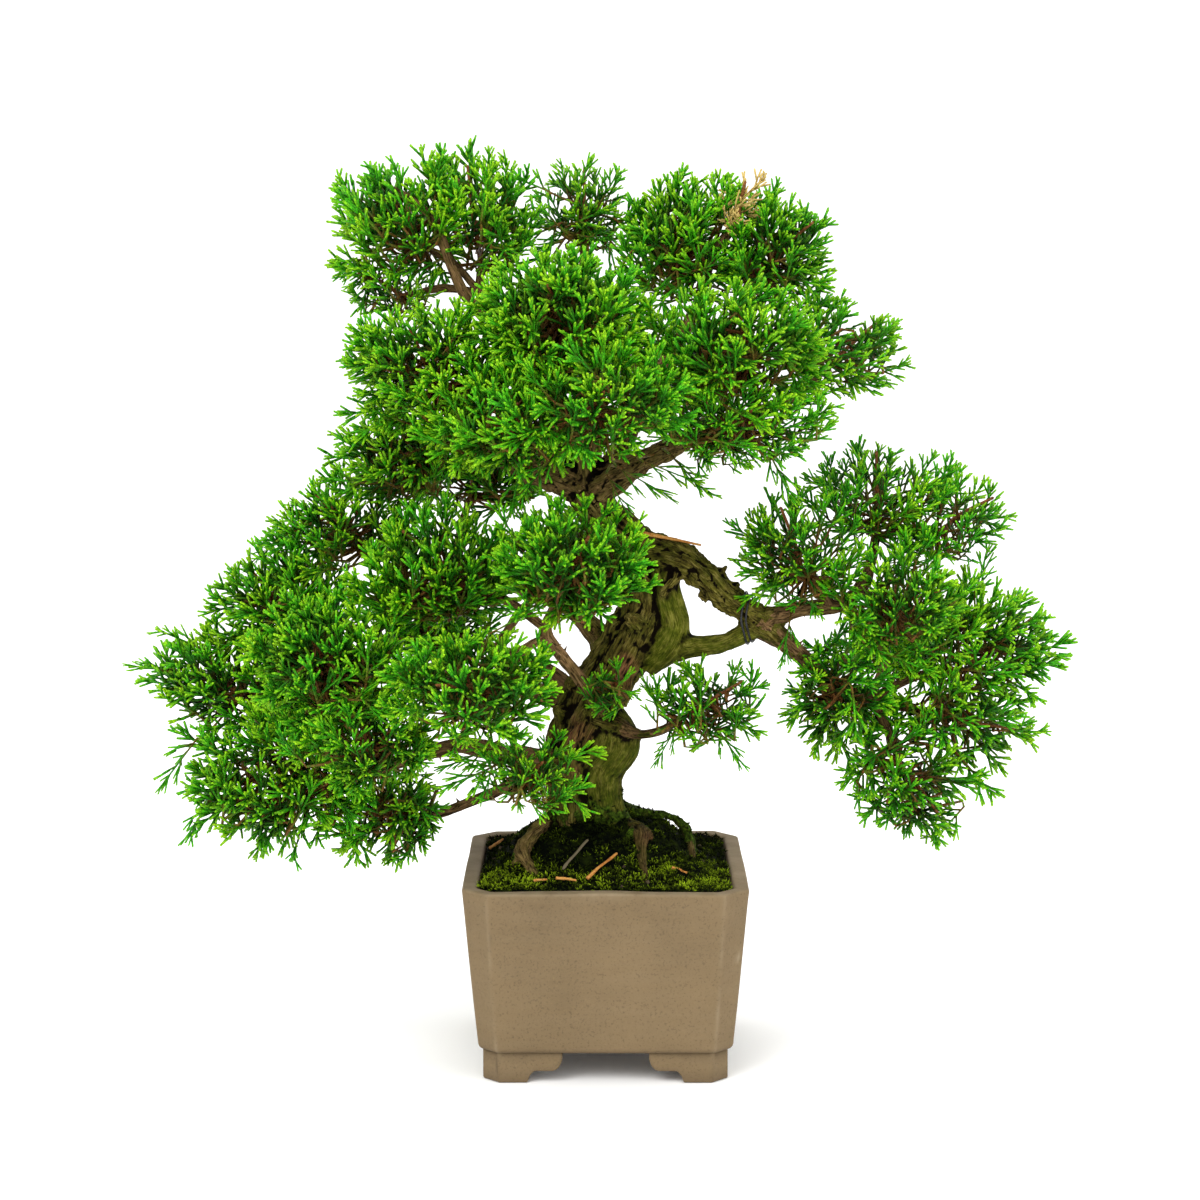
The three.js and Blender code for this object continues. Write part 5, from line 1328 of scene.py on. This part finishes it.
# one spray along +Z: a main cord, side shoots in a spiral that get shorter and steeper, and on these
# branchlets to both sides at a narrow angle, each shorter than the one before; a plain one for the inside
# has no branchlets
def sprayTemplate(seed, plain=False):
    random = np.random.default_rng(seed)
    f = foliageSettings
    length, radius = f["sprayLength"], f["cordRadius"]
    main = curvedCord(np.zeros(3), np.array([random.normal(0, 0.14), random.normal(0, 0.14), 1.0]),
                      np.array([random.normal(0, 0.3), random.normal(0, 0.3), 1.0]), length, 5)
    sides, branchlets = [], []
    turn = random.uniform(0, fullTurn)
    upward = np.array([0.0, 0.0, 1.0])
    for k in range(f["sideShoots"]):
        share = (k + 0.3) / f["sideShoots"]
        turn += 2.4 + random.normal(0, 0.3)
        place = share * 3.6 + 0.3
        low = int(place)
        start = main[low] + (main[low + 1] - main[low]) * (place - low)
        lean = math.radians(58 - 26 * share + random.normal(0, 6))
        outward = np.array([math.cos(turn), math.sin(turn), 0.0])
        direction = outward * math.sin(lean) + upward * math.cos(lean)
        reach = f["sideReach"] * (1 - f["sideTaper"] * share) * random.uniform(0.8, 1.15)
        side = curvedCord(start, direction, upward, reach, 3)
        sides.append(side)
        if plain:
            continue
        swing = np.cross(direction, upward)
        swing = swing / norm(swing)
        for j, at in enumerate((0.28, 0.58) if reach > 9.5 else (0.4,)):
            sign = 1 if (j + k) % 2 else -1
            root = side[0] + (side[-1] - side[0]) * at
            aim = (direction * 0.8 + swing * sign * random.uniform(0.58, 0.82)
                   + upward * random.uniform(0.0, 0.3))
            aim /= norm(aim)
            branchlets.append(curvedCord(root, aim, direction,
                                         (1 - at) * reach * 0.66 + random.uniform(1.4, 3.0), 2))
    for k in range(2):
        angle = turn + 1.5 + k * 2.6
        aim = np.array([math.cos(angle) * 0.55, math.sin(angle) * 0.55, 0.84])
        branchlets.append(curvedCord(main[3] + (main[4] - main[3]) * 0.35 * k, aim, upward,
                                     random.uniform(4.5, 6.5), 2))
    parts = [cordSurfaces(main[None], np.array([[0.95, 0.95, 0.95, 0.92, 0.86]]) * radius,
                          {"tip": np.array([[0, 0, 0, 0.2, 0.9, 1.0]]),
                           "wood": np.array([[1, 0.6, 0, 0, 0, 0.0]])})]
    sides = np.array(sides)
    parts.append(cordSurfaces(sides, np.tile([0.92, 0.95, 0.86], (len(sides), 1)) * radius, {
        "tip": np.tile([0, 0.1, 0.9, 1.0], (len(sides), 1)),
        "wood": np.concatenate([np.linspace(0.8, 0, len(sides))[:, None], np.zeros((len(sides), 3))],
                               axis=1)}))
    branchlets = np.array(branchlets)
    parts.append(cordSurfaces(branchlets, np.tile([0.92, 0.86], (len(branchlets), 1)) * radius, {
        "tip": np.tile([0.05, 0.82, 1.0], (len(branchlets), 1)), "wood": np.zeros((len(branchlets), 3))}))
    return joinSurfaces(parts)


# evenly spread directions: points on a spiral from pole to pole, nudged a little
def evenDirections(count, random):
    k = np.arange(count) + 0.5
    height = 1 - 2 * k / count
    flat = np.sqrt(1 - height ** 2)
    turn = k * 2.39996 + random.uniform(0, 6.28)
    directions = np.stack([flat * np.cos(turn), flat * np.sin(turn), height], axis=1)
    directions += random.normal(0, 0.5 / math.sqrt(count), directions.shape)
    return unit(directions)


# main twig: from the end of its limb or twig through the pad's middle and on towards its far side
def mainTwigCurve(name, middle, half):
    limb = padPlaces[name][2]
    bearer = pathStations(padTwigs[name] if limb is None else limbPaths[limb], 2.0)
    start, along = bearer["centre"][-1], bearer["along"][-1]
    inward = middle - start
    reach = norm(inward)
    farEnd = middle + inward / reach * half
    farEnd[2] += half[2] * 0.1
    return smoothCurve(np.array([start - along * 2, start + along * reach * 0.3, middle,
                                 middle + (farEnd - middle) * 0.72]),
                       np.linspace(0, 1, 14))


# the tree's three clouds: shoots lean away from the middle of the one they grow in
cloudMiddles = np.array([(-5, 10, 285), (-70, 0, 165), (100, 0, 190)], float)
fanPads = ("middle_front", "middle_left")  # pads whose shoots stand up like a fan
airyPads = ("back_", "right_", "trunk_right", "bottom_", "crown_back", "crown_left_tail")
sparsePads = ("dead_spray", "trunk_sprig")

# places without tips, where the photograph shows bare limbs or open air: middle and radius
openPlaces = np.array([
    (-207, 5, 160, 15), (-171, -28, 110, 13), (-103, -12, 105, 9), (90, 2, 289, 14), (78, -20, 267, 11),
    (-71, -10, 364, 9), (-78, -10, 382, 8), (-64, -8, 352, 8),
])


# a pad's green: tips stand on its rounded outside, a little in or out by a smooth noise, fewer underneath.
# They reach further out over the valley to the next pad, so that neighbours grow into one mass; none stand
# buried inside a neighbour. They aim away from the pad's middle and the cloud's, less so to the front and
# back, and up
def placeSprays(name, middle, half, random):
    f = foliageSettings
    a, b, c = half ** 1.6
    area = 4 * math.pi * ((a * b + a * c + b * c) / 3) ** (1 / 1.6)
    kind = "deadArea" if name in sparsePads else "airyArea" if name.startswith(airyPads) else "areaPerSpray"
    outer = evenDirections(int(area / f[kind]), random)
    outer = outer[(outer[:, 2] > -0.3) | (random.uniform(size=len(outer)) < 0.6)]
    inner = evenDirections(max(int(len(outer) * f["innerShare"]), 3), random)
    reach = np.concatenate([
        0.96 + 0.16 * valueNoise(outer * 2.4 + middle * 0.1, 7) + random.uniform(-0.08, 0.07, len(outer)),
        random.uniform(0.55, 0.8, len(inner))])
    directions = np.concatenate([outer, inner])
    isOuter = np.arange(len(directions)) < len(outer)
    others = [pad[:2] for key, pad in padPlaces.items() if key not in (name, "dead_spray")]
    otherMiddles = np.array([pad[0] for pad in others], float)
    otherHalves = np.array([pad[1] for pad in others], float)
    tips = middle + directions * half * reach[:, None]
    depth = norm((tips[:, None] - otherMiddles) / otherHalves, axis=2).min(axis=1)
    reach += f["valleyFill"] * np.exp(-((depth - f["valleyPlace"]) / f["valleyWidth"]) ** 2) * isOuter
    tips = middle + directions * half * reach[:, None]
    outward = directions / half
    outward = unit(outward)
    cloud = cloudMiddles[norm(cloudMiddles - middle, axis=1).argmin()]
    away = unit(tips - cloud) * (not name.startswith("trunk_"))
    upward = f["fanAim"] if name in fanPads else f["upwardAim"]
    aims = outward * np.array(f["padAim"]) + away * f["groupAim"] + np.array([0, 0, upward])
    aims += random.normal(0, f["strayAim"], aims.shape)
    aims = unit(aims)
    scales = np.clip(random.uniform(0.82, 1.12, len(tips)) * np.clip(half.min() / 25, 0.7, 1), 0.66, 1.12)
    roots = tips - aims * (f["sprayLength"] * scales)[:, None]
    # a root that would lie outside the pad is drawn back to its surface, and the spray turns with it
    tooFar = np.maximum(norm((roots - middle) / half, axis=1) / f["rootDepth"], 1)
    roots = middle + (roots - middle) / tooFar[:, None]
    span = norm(tips - roots, axis=1)
    aims = (tips - roots) / span[:, None]
    scales = np.clip(span / f["sprayLength"], 0.5, 1.2)
    tips = tips - aims * 5
    open_ = (norm(tips[:, None] - openPlaces[:, :3], axis=2) < openPlaces[:, 3]).any(axis=1)
    kept = (depth > f["buried"]) & ~open_
    return roots[kept], aims[kept], scales[kept], int((kept & isOuter).sum())


# single sprays that the photograph shows apart from the rounded pads: root, aim, size and share of the width
looseSprays = {
    "front_right_low": [((4, -34, 275), (0.85, 0.0, -0.5), 1.0, 0.5),
        ((0, -34, 272), (0.45, 0.1, -0.9), 0.95, 0.5), ((16, -32, 277), (0.9, -0.1, -0.35), 1.0, 0.6),
        ((28, -30, 280), (0.7, 0.0, -0.6), 0.95, 0.7), ((70, -34, 284), (0.5, 0.0, -0.8), 1.0, 0.7)],
    "left_upper": [((-122, 10, 246), (-0.9, 0, 0.35), 0.8, 0.6),
        ((-128, 9, 246), (-0.85, -0.1, -0.25), 0.66, 0.6), ((-141, 8, 243), (-0.75, 0, -0.6), 0.62, 0.5),
        ((-152, 7, 235), (-0.75, 0, -0.55), 0.6, 0.5)],
    "far_left": [((-190, 5, 176), (-1.0, 0, 0.12), 1.0, 0.6), ((-182, 5, 186), (-0.95, 0, 0.3), 0.9, 0.8)],
    "left_low": [((-183, -28, 152), (-0.6, 0, -0.75), 1.0, 0.7),
        ((-174, -30, 132), (-0.4, 0, -0.92), 1.05, 0.7), ((-150, -28, 120), (-0.3, 0, -0.95), 0.9, 0.9),
        ((-135, -24, 118), (-0.1, 0, -1.0), 0.85, 0.9)],
    "front_low": [((-22, -70, 285), (-0.5, 0.0, -0.85), 0.9, 0.8),
        ((-36, -66, 282), (-0.2, 0.0, -0.95), 0.9, 0.8)],
    "middle_front": [((-34, -74, 240), (-0.4, 0.2, 0.9), 0.9, 0.9)],
    "front_left_deep": [((-50, -86, 208), (0.7, 0.0, 0.45), 0.9, 0.7)],
    "trunk_front": [((-46, -66, 148), (-0.85, 0, -0.4), 1.0, 0.8),
        ((-42, -64, 146), (-0.9, 0, 0.1), 0.9, 0.7), ((-28, -66, 148), (0.9, 0.1, 0.1), 0.95, 0.9),
        ((-26, -66, 142), (0.75, 0.1, -0.6), 0.9, 0.8)],
    "front_right": [((34, -44, 318), (-0.55, -0.2, 0.8), 0.9, 0.8),
        ((30, -44, 305), (-0.7, -0.2, 0.6), 0.85, 0.8)],
    "right_inner": [((78, -20, 236), (-0.8, 0.0, 0.5), 0.9, 0.8),
        ((82, -20, 226), (-0.85, 0.0, -0.5), 0.9, 0.8)],
    "right_middle": [((84, -12, 207), (-0.1, -0.5, -0.85), 0.9, 0.6),
        ((98, -10, 209), (0.2, -0.4, 0.8), 0.9, 0.6), ((106, -8, 211), (0.3, -0.5, -0.75), 0.95, 0.6),
        ((118, 2, 222), (0.8, -0.3, 0.3), 0.9, 0.6)],
    "right_far": [((168, 2, 210), (0.3, 0.0, 0.95), 0.9, 0.8)],
    "left_low_front": [((-49, -42, 151), (-0.75, 0.1, -0.35), 0.95, 0.6),
        ((-47, -42, 150), (-0.4, 0.1, -0.85), 0.9, 0.6), ((-44, -44, 148), (-0.85, 0.0, 0.2), 0.9, 0.6),
        ((-40, -46, 152), (-0.35, -0.2, 0.85), 0.9, 0.7)],
    "crown_back": [((-20, 50, 380), (-0.8, -0.2, -0.3), 1.0, 0.9),
        ((-18, 48, 374), (-0.55, -0.3, -0.75), 1.0, 0.9), ((-22, 52, 392), (-0.85, 0.0, 0.3), 0.9, 0.9),
        ((0, 50, 374), (0.6, -0.3, -0.7), 1.0, 0.9), ((4, 50, 382), (0.85, -0.2, -0.4), 0.95, 0.9),
        ((-8, 46, 370), (0.0, -0.4, -0.9), 0.9, 0.9)],
    "crown_right": [((24, 12, 364), (0.1, -0.4, -0.9), 1.0, 0.9),
        ((32, 8, 362), (-0.1, -0.5, -0.85), 1.0, 0.9), ((12, 16, 368), (-0.6, -0.2, -0.75), 0.95, 0.9)],
    "front_left": [((-92, -22, 303), (-0.9, 0.0, -0.15), 0.95, 0.9),
        ((-90, -22, 300), (-0.8, 0.0, -0.55), 0.95, 0.9), ((-92, -20, 308), (-0.85, 0.0, 0.35), 0.9, 0.9)],
    "trunk_right": [((34, -28, 160), (-0.5, -0.2, -0.85), 0.8, 0.7),
        ((48, -28, 160), (0.5, -0.1, -0.8), 0.85, 0.7), ((30, -28, 160), (-0.5, 0, 0.8), 0.85, 0.6)],
}


# pad: its main twig, thin twigs from it to each spray, and the sprays, each turned to its aim and spun round
# it
def makePad(name, middle, half, material, templates, seed, piece, dryShare):
    random = np.random.default_rng(seed)
    middle, half = np.array(middle, float), np.array(half, float)
    roots, aims, scales, outerCount = placeSprays(name, middle, half, random)
    widths = np.ones(len(roots))
    for root, aim, scale, width in looseSprays.get(name, []):
        roots = np.concatenate([roots, [root]])
        aims = np.concatenate([aims, [np.array(aim) / norm(aim)]])
        scales = np.append(scales, scale)
        widths = np.append(widths, width)
    count = len(roots)
    curve = mainTwigCurve(name, middle, half)
    parts = []
    full = len(templates) * 3 // 4  # the last quarter of the templates are the plain ones for the inside
    choice = random.integers(0, full, count)
    innerPart = slice(outerCount, count - len(looseSprays.get(name, [])))
    choice[innerPart] = random.integers(full, len(templates), len(choice[innerPart]))
    dry = (random.uniform(size=count) < dryShare).astype(float)
    tone = random.uniform(0, 1, count)
    spin = random.uniform(0, fullTurn, count)
    helper = np.where(np.abs(aims[:, 2:]) < 0.9, np.array([[0, 0, 1.0]]), np.array([[1.0, 0, 0]]))
    side = np.cross(helper, aims)
    side = unit(side)
    other = np.cross(aims, side)
    first = side * np.cos(spin)[:, None] + other * np.sin(spin)[:, None]
    second = np.cross(aims, first)
    frames = (np.stack([first * widths[:, None], second * widths[:, None], aims], axis=2)
              * scales[:, None, None])
    for k, (points, faces, uvs, values) in enumerate(templates):
        chosen = np.flatnonzero(choice == k)
        if len(chosen) == 0:
            continue
        placed = np.einsum("nij,pj->npi", frames[chosen], points) + roots[chosen, None]
        spread = {key: np.tile(value, len(chosen)) for key, value in values.items()}
        spread["dry"] = np.repeat(dry[chosen], len(points))
        spread["tone"] = np.repeat(tone[chosen], len(points))
        parts.append((placed.reshape(-1, 3),
                      (faces[None] + np.arange(len(chosen))[:, None, None] * len(points)).reshape(-1, 3),
                      np.tile(uvs, (len(chosen), 1, 1)), spread))
    # a thin twig takes each spray to the nearest place on the pad's main twig, or to one a bit before it
    distance = norm(roots[:, None] - curve[None, 3:], axis=2)
    nearest = 3 + distance.argmin(1)
    joint = curve[np.maximum(nearest - (distance.min(1) * 0.12).astype(int), 2)]
    # one of the single sprays grows from a limb instead where that is nearer
    toLimb = norm(roots[:, None] - limbStations[None], axis=2)
    onLimb = (toLimb.min(1) < distance.min(1)) & (np.arange(count) >= innerPart.stop)
    joint[onLimb] = limbStations[toLimb.argmin(1)[onLimb]]
    span = norm(roots - joint, axis=1)[:, None]
    control = roots - aims * np.minimum(span * 0.45, 6)
    share = np.linspace(0, 1, 3)[None, :, None]
    centres = (joint[:, None] * (1 - share) ** 2 + control[:, None] * 2 * share * (1 - share)
               + (roots + aims * 0.5)[:, None] * share ** 2)
    sway = random.normal(0, 0.8, centres.shape)
    sway[:, [0, -1]] = 0
    flat = {"tip": np.zeros((count, 4)), "wood": np.tile([1, 0.75, 0.4, 0.4], (count, 1)),
            "dry": np.tile(dry[:, None], (1, 4)), "tone": np.tile(tone[:, None], (1, 4))}
    parts.append(cordSurfaces(centres + sway, np.tile([0.85, 0.72, 0.62], (count, 1)), flat))
    stem = {key: np.full((1, 15), value) for key,
            value in (("tip", 0.0), ("wood", 1.0), ("dry", 0.0), ("tone", 0.5))}
    parts.append(cordSurfaces(curve[None], np.linspace(1.75, 0.8, 14)[None], stem))
    points, faces, uvs, values = joinSurfaces(parts)
    # darker deep in the pad, partly older foliage and partly painted shade, and painted shade towards its
    # underside
    depth = norm((points - middle) / half, axis=1)
    values["inside"] = smoothStep(1.0, 0.42, depth + 0.12 * (points[:, 2] - middle[2]) / half[2])
    meshPiece(piece, points, [faces], material, uvs=uvs.reshape(-1, 2),
              attributes={"leaf" + key.capitalize(): value for key, value in values.items()},
              replaced=[piece])
    return len(faces)


def leafMaterial():
    f = foliageSettings
    material, tree, shader = newMaterial("juniper scale leaves", 0.55, 0.14)
    place = objectPlace(tree)
    uv = addNode(tree, "ShaderNodeUVMap", uv_map="UVMap").outputs["UV"]
    scales = addNode(tree, "ShaderNodeTexBrick", {"Scale": 1.0, "Mortar Size": 0.09, "Mortar Smooth": 0.9,
                                                 "Brick Width": 0.5, "Row Height": 1.0,
                                                 "Color1": (1, 1, 1, 1),
                                                 "Color2": (0.86, 0.86, 0.86, 1),
                                                  "Mortar": (0.35, 0.35, 0.35, 1)})
    tree.links.new(uv, scales.inputs["Vector"])
    patch = addNoise(tree, place, 70, 3, 0.6)
    # greens: mature to young by the way up the shoot, a number for each spray and a broad noise; tips turn
    # lime
    blend = plus(tree, times(tree, attributeOf(tree, "leafTip"), 0.5),
                    plus(tree, times(tree, attributeOf(tree, "leafTone"), 0.3),
                            times(tree, patch, 0.35)), clamp=True)
    colour = addRamp(tree, blend, [(0.14, f["mature"]), (0.5, f["young"]), (0.95, f["tip"])])
    colour = addMix(tree, 1.0, colour, scales.outputs["Color"], "MULTIPLY")
    # darker inside the pads: partly older foliage, partly painted shade, more so on their undersides
    inside = attributeOf(tree, "leafInside")
    colour = addMix(tree, times(tree, inside, 0.86), colour, f["inside"])
    grain = addNoise(tree, place, 900, 3, 0.6)
    twig = addRamp(tree, grain, [(0.3, scaled(f["twig"], 0.4)), (0.55, f["twig"]),
                                 (0.75, scaled(f["twig"], 1.9))])
    colour = addMix(tree, attributeOf(tree, "leafWood"), colour, twig)
    dry = addRamp(tree, grain, [(0.3, f["dry"]), (0.7, f["dryPale"])])
    colour = addMix(tree, attributeOf(tree, "leafDry"), colour, dry)
    paint(tree, colour, shader)
    addBump(tree, times(tree, scales.outputs["Fac"], -1.0), 0.5, 0.0006, shader)
    return material


limbStations = np.concatenate([pathStations(path, 4.0)["centre"] for path in limbPaths.values()])
leaves = leafMaterial()
templates = [sprayTemplate(201 + k, k >= 15) for k in range(20)]
total = 0
for number, (name, (middle, half, limb)) in enumerate(padPlaces.items()):
    isDead = name == "dead_spray"
    piece, slot = (name, "dead_foliage") if isDead else ("foliage_" + name, "foliage")
    total += makePad(name, middle, half, leaves, templates, 301 + number, piece, float(isDead))
print("foliage", total)


# small loose things: dead twigs on the moss and on the limb, each bent, knotty and lying on what is under it
litterSettings = {
    "brown": (0.45, 0.165, 0.028), "pale": (0.62, 0.36, 0.1), "dark": (0.1, 0.04, 0.018),
    "grey": (0.13, 0.105, 0.06), "mossRise": 1.9,
}
fallenTwigs = {
    "fallen_twig_front": ((-8.3, -50), (5.1, -37.2), 0.75, 0.0),
    "fallen_twig_left": ((-22, -50.1), (-13.1, -51.5), 0.7, 0.0),
    "fallen_twig_middle": ((-19, -44.4), (-7.9, -33), 0.65, 1.0),
    "fallen_twig_limb": ((15, -5), (43, -8.5), 0.75, 0.0),
}
otherTwigs = {
    "fallen_twig_far_left": ((-54, 18), (-47.5, 14), 0.7, 0.3),
    "fallen_twig_right": ((29.8, -36.4), (37.2, -38.7), 0.7, 0.0),
    "fallen_twig_small": ((-32, -47.8), (-26.1, -49), 0.6, 0.0),
}


def litterMaterial():
    s = litterSettings
    material, tree, shader = newMaterial("dead twigs", 0.8, 0.25)
    grain = addNoise(tree, objectPlace(tree), 850, 4, 0.65)
    broad = addNoise(tree, objectPlace(tree), 160, 2, 0.5)
    mixed = plus(tree, times(tree, grain, 0.6), times(tree, broad, 0.4))
    colour = addRamp(tree, mixed, [(0.3, s["dark"]), (0.46, s["brown"]), (0.66, s["pale"])])
    colour = addMix(tree, attributeOf(tree, "twigGrey"), colour, s["grey"])
    paint(tree, colour, shader)
    addBump(tree, grain, 0.6, 0.0005, shader)
    return material


# fallen twig: a bowed tube with knots, laid on the ground under it
def makeFallenTwig(name, start, end, radius, grey, material, ground, replaced):
    share = np.linspace(0, 1, 16)
    start, end = np.array(start, float), np.array(end, float)
    flat = start + (end - start) * share[:, None]
    side = np.array([-(end - start)[1], (end - start)[0]]) / norm(end - start)
    flat = flat + side * (0.5 * np.sin(share * math.pi) + 0.22 * np.sin(share * 9 + start[0]))[:, None]
    support = ground(flat)
    # a straight line at the mean slope of what is under it, let down on the highest place
    found = support > 0
    slope = np.polyfit(share[found], support[found], 1)[0]
    height = slope * share + (support - slope * share).max() + radius * 0.7
    centres = np.concatenate([flat, height[:, None]], axis=1)
    knots = 1 + 0.22 * valueNoise(np.stack([share * 9, share * 0 + start[0], share * 0], axis=1), 96)
    points, quads, triangles = tubeSurface(centres, radius * knots * np.clip(1.15 - 0.4 * share, 0.5, 1.1), 7)
    meshPiece(name, points, [quads, triangles], material,
              attributes={"twigGrey": np.full(len(points), grey)}, replaced=replaced)


# twigs on the moss or on the limb: the ground is the carpet's top, or the highest bark near each station
def makeLitter(skin):
    material = litterMaterial()

    def mossGround(flat):
        return carpetTop(flat[:, 0], flat[:, 1]) + litterSettings["mossRise"]

    def barkGround(flat):
        near = norm(skin[None, :, :2] - flat[:, None], axis=2) < 1.6
        return np.where(near & (skin[None, :, 2] < 245), skin[None, :, 2], 0).max(axis=1)

    # start and end seen from above, radius and share of grey
    for name, (start, end, radius, grey) in {**fallenTwigs, **otherTwigs}.items():
        ground = barkGround if name == "fallen_twig_limb" else mossGround
        makeFallenTwig(name, start, end, radius, grey, material, ground,
                       [name] if name in fallenTwigs else [])


# wire: wound over the two limbs along the outline that a tight loop would take round both
wireSettings = {"middle": (65, -9.5, 203.5), "spread": 4.6, "turns": 2.2, "radius": 0.5, "bow": 0.34,
                "steps": 150}


# at each step the wire keeps just outside the wood that lies in the thin slice it passes through
def makeWire(skin):
    w = wireSettings
    middle = np.array(w["middle"])
    offset = skin - middle
    offset = offset[(np.abs(offset[:, 0]) < 14) & (norm(offset[:, 1:], axis=1) < 24)]
    look = np.arange(72) / 72 * fullTurn
    steps = w["steps"]
    turn = np.linspace(0, w["turns"] * fullTurn, steps) - 1.2
    shift = np.linspace(-0.5, 0.5, steps) * w["spread"] + w["bow"] * 9 * np.cos(turn)
    reach = np.empty(steps)
    for k in range(steps):
        slice_ = offset[np.abs(offset[:, 0] - shift[k]) < 1.3]
        support = (slice_[:, 1, None] * np.cos(look) + slice_[:, 2, None] * np.sin(look)).max(axis=0)
        facing = np.cos(turn[k] - look)
        ahead = facing > 0.05
        reach[k] = (support[ahead] / facing[ahead]).min() + w["radius"] + 0.05
    reach = np.convolve(np.pad(reach, 3, mode="edge"), np.full(7, 1 / 7), mode="valid")
    centres = np.stack([middle[0] + shift, middle[1] + np.cos(turn) * reach,
                        middle[2] + np.sin(turn) * reach], axis=1)
    points, quads, triangles = tubeSurface(centres, np.full(steps, w["radius"]), 10)
    material, tree, shader = newMaterial("anodised wire", 0.38)
    shader.inputs["Metallic"].default_value = 0.85
    drawn = addNoise(tree, objectPlace(tree), 1200, 3, 0.6)
    colour = addRamp(tree, drawn, [(0.35, (0.02, 0.02, 0.021)), (0.65, (0.055, 0.055, 0.058))])
    paint(tree, colour, shader)
    tree.links.new(plus(tree, times(tree, drawn, 0.25), 0.26), shader.inputs["Roughness"])
    addBump(tree, drawn, 0.15, 0.0003, shader)
    meshPiece("wire_loops", points, [quads, triangles], material, replaced=["wire_tie"])


# the drain mesh keeps its solid and gets woven-looking plastic: fine ribs one way
def dressDrainMesh():
    material, tree, shader = newMaterial("black plastic mesh", 0.55)
    place = objectPlace(tree)
    ribs = addNode(tree, "ShaderNodeTexWave", {"Scale": 260.0, "Distortion": 0.6, "Detail": 1.0})
    tree.links.new(place, ribs.inputs["Vector"])
    grain = addNoise(tree, place, 900, 3, 0.6)
    colour = addRamp(tree, grain, [(0.3, (0.008, 0.009, 0.009)), (0.7, (0.022, 0.024, 0.023))])
    paint(tree, colour, shader)
    addBump(tree, ribs.outputs["Fac"], 0.3, 0.0004, shader)
    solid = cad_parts["drain_mesh"]
    solid.data.materials.clear()
    solid.data.materials.append(material)


makeLitter(woodSkin[0])
makeWire(woodPoints)
dressDrainMesh()
print("twigs, wire and drain mesh")


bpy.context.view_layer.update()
counts = {piece.name: sum(len(face.vertices) - 2 for face in piece.data.polygons)
          for piece in scene.objects if piece.type == "MESH" and piece.name != "floor"}
print("triangles", sum(counts.values()), sorted(counts.items(), key=lambda item: -item[1])[:6])
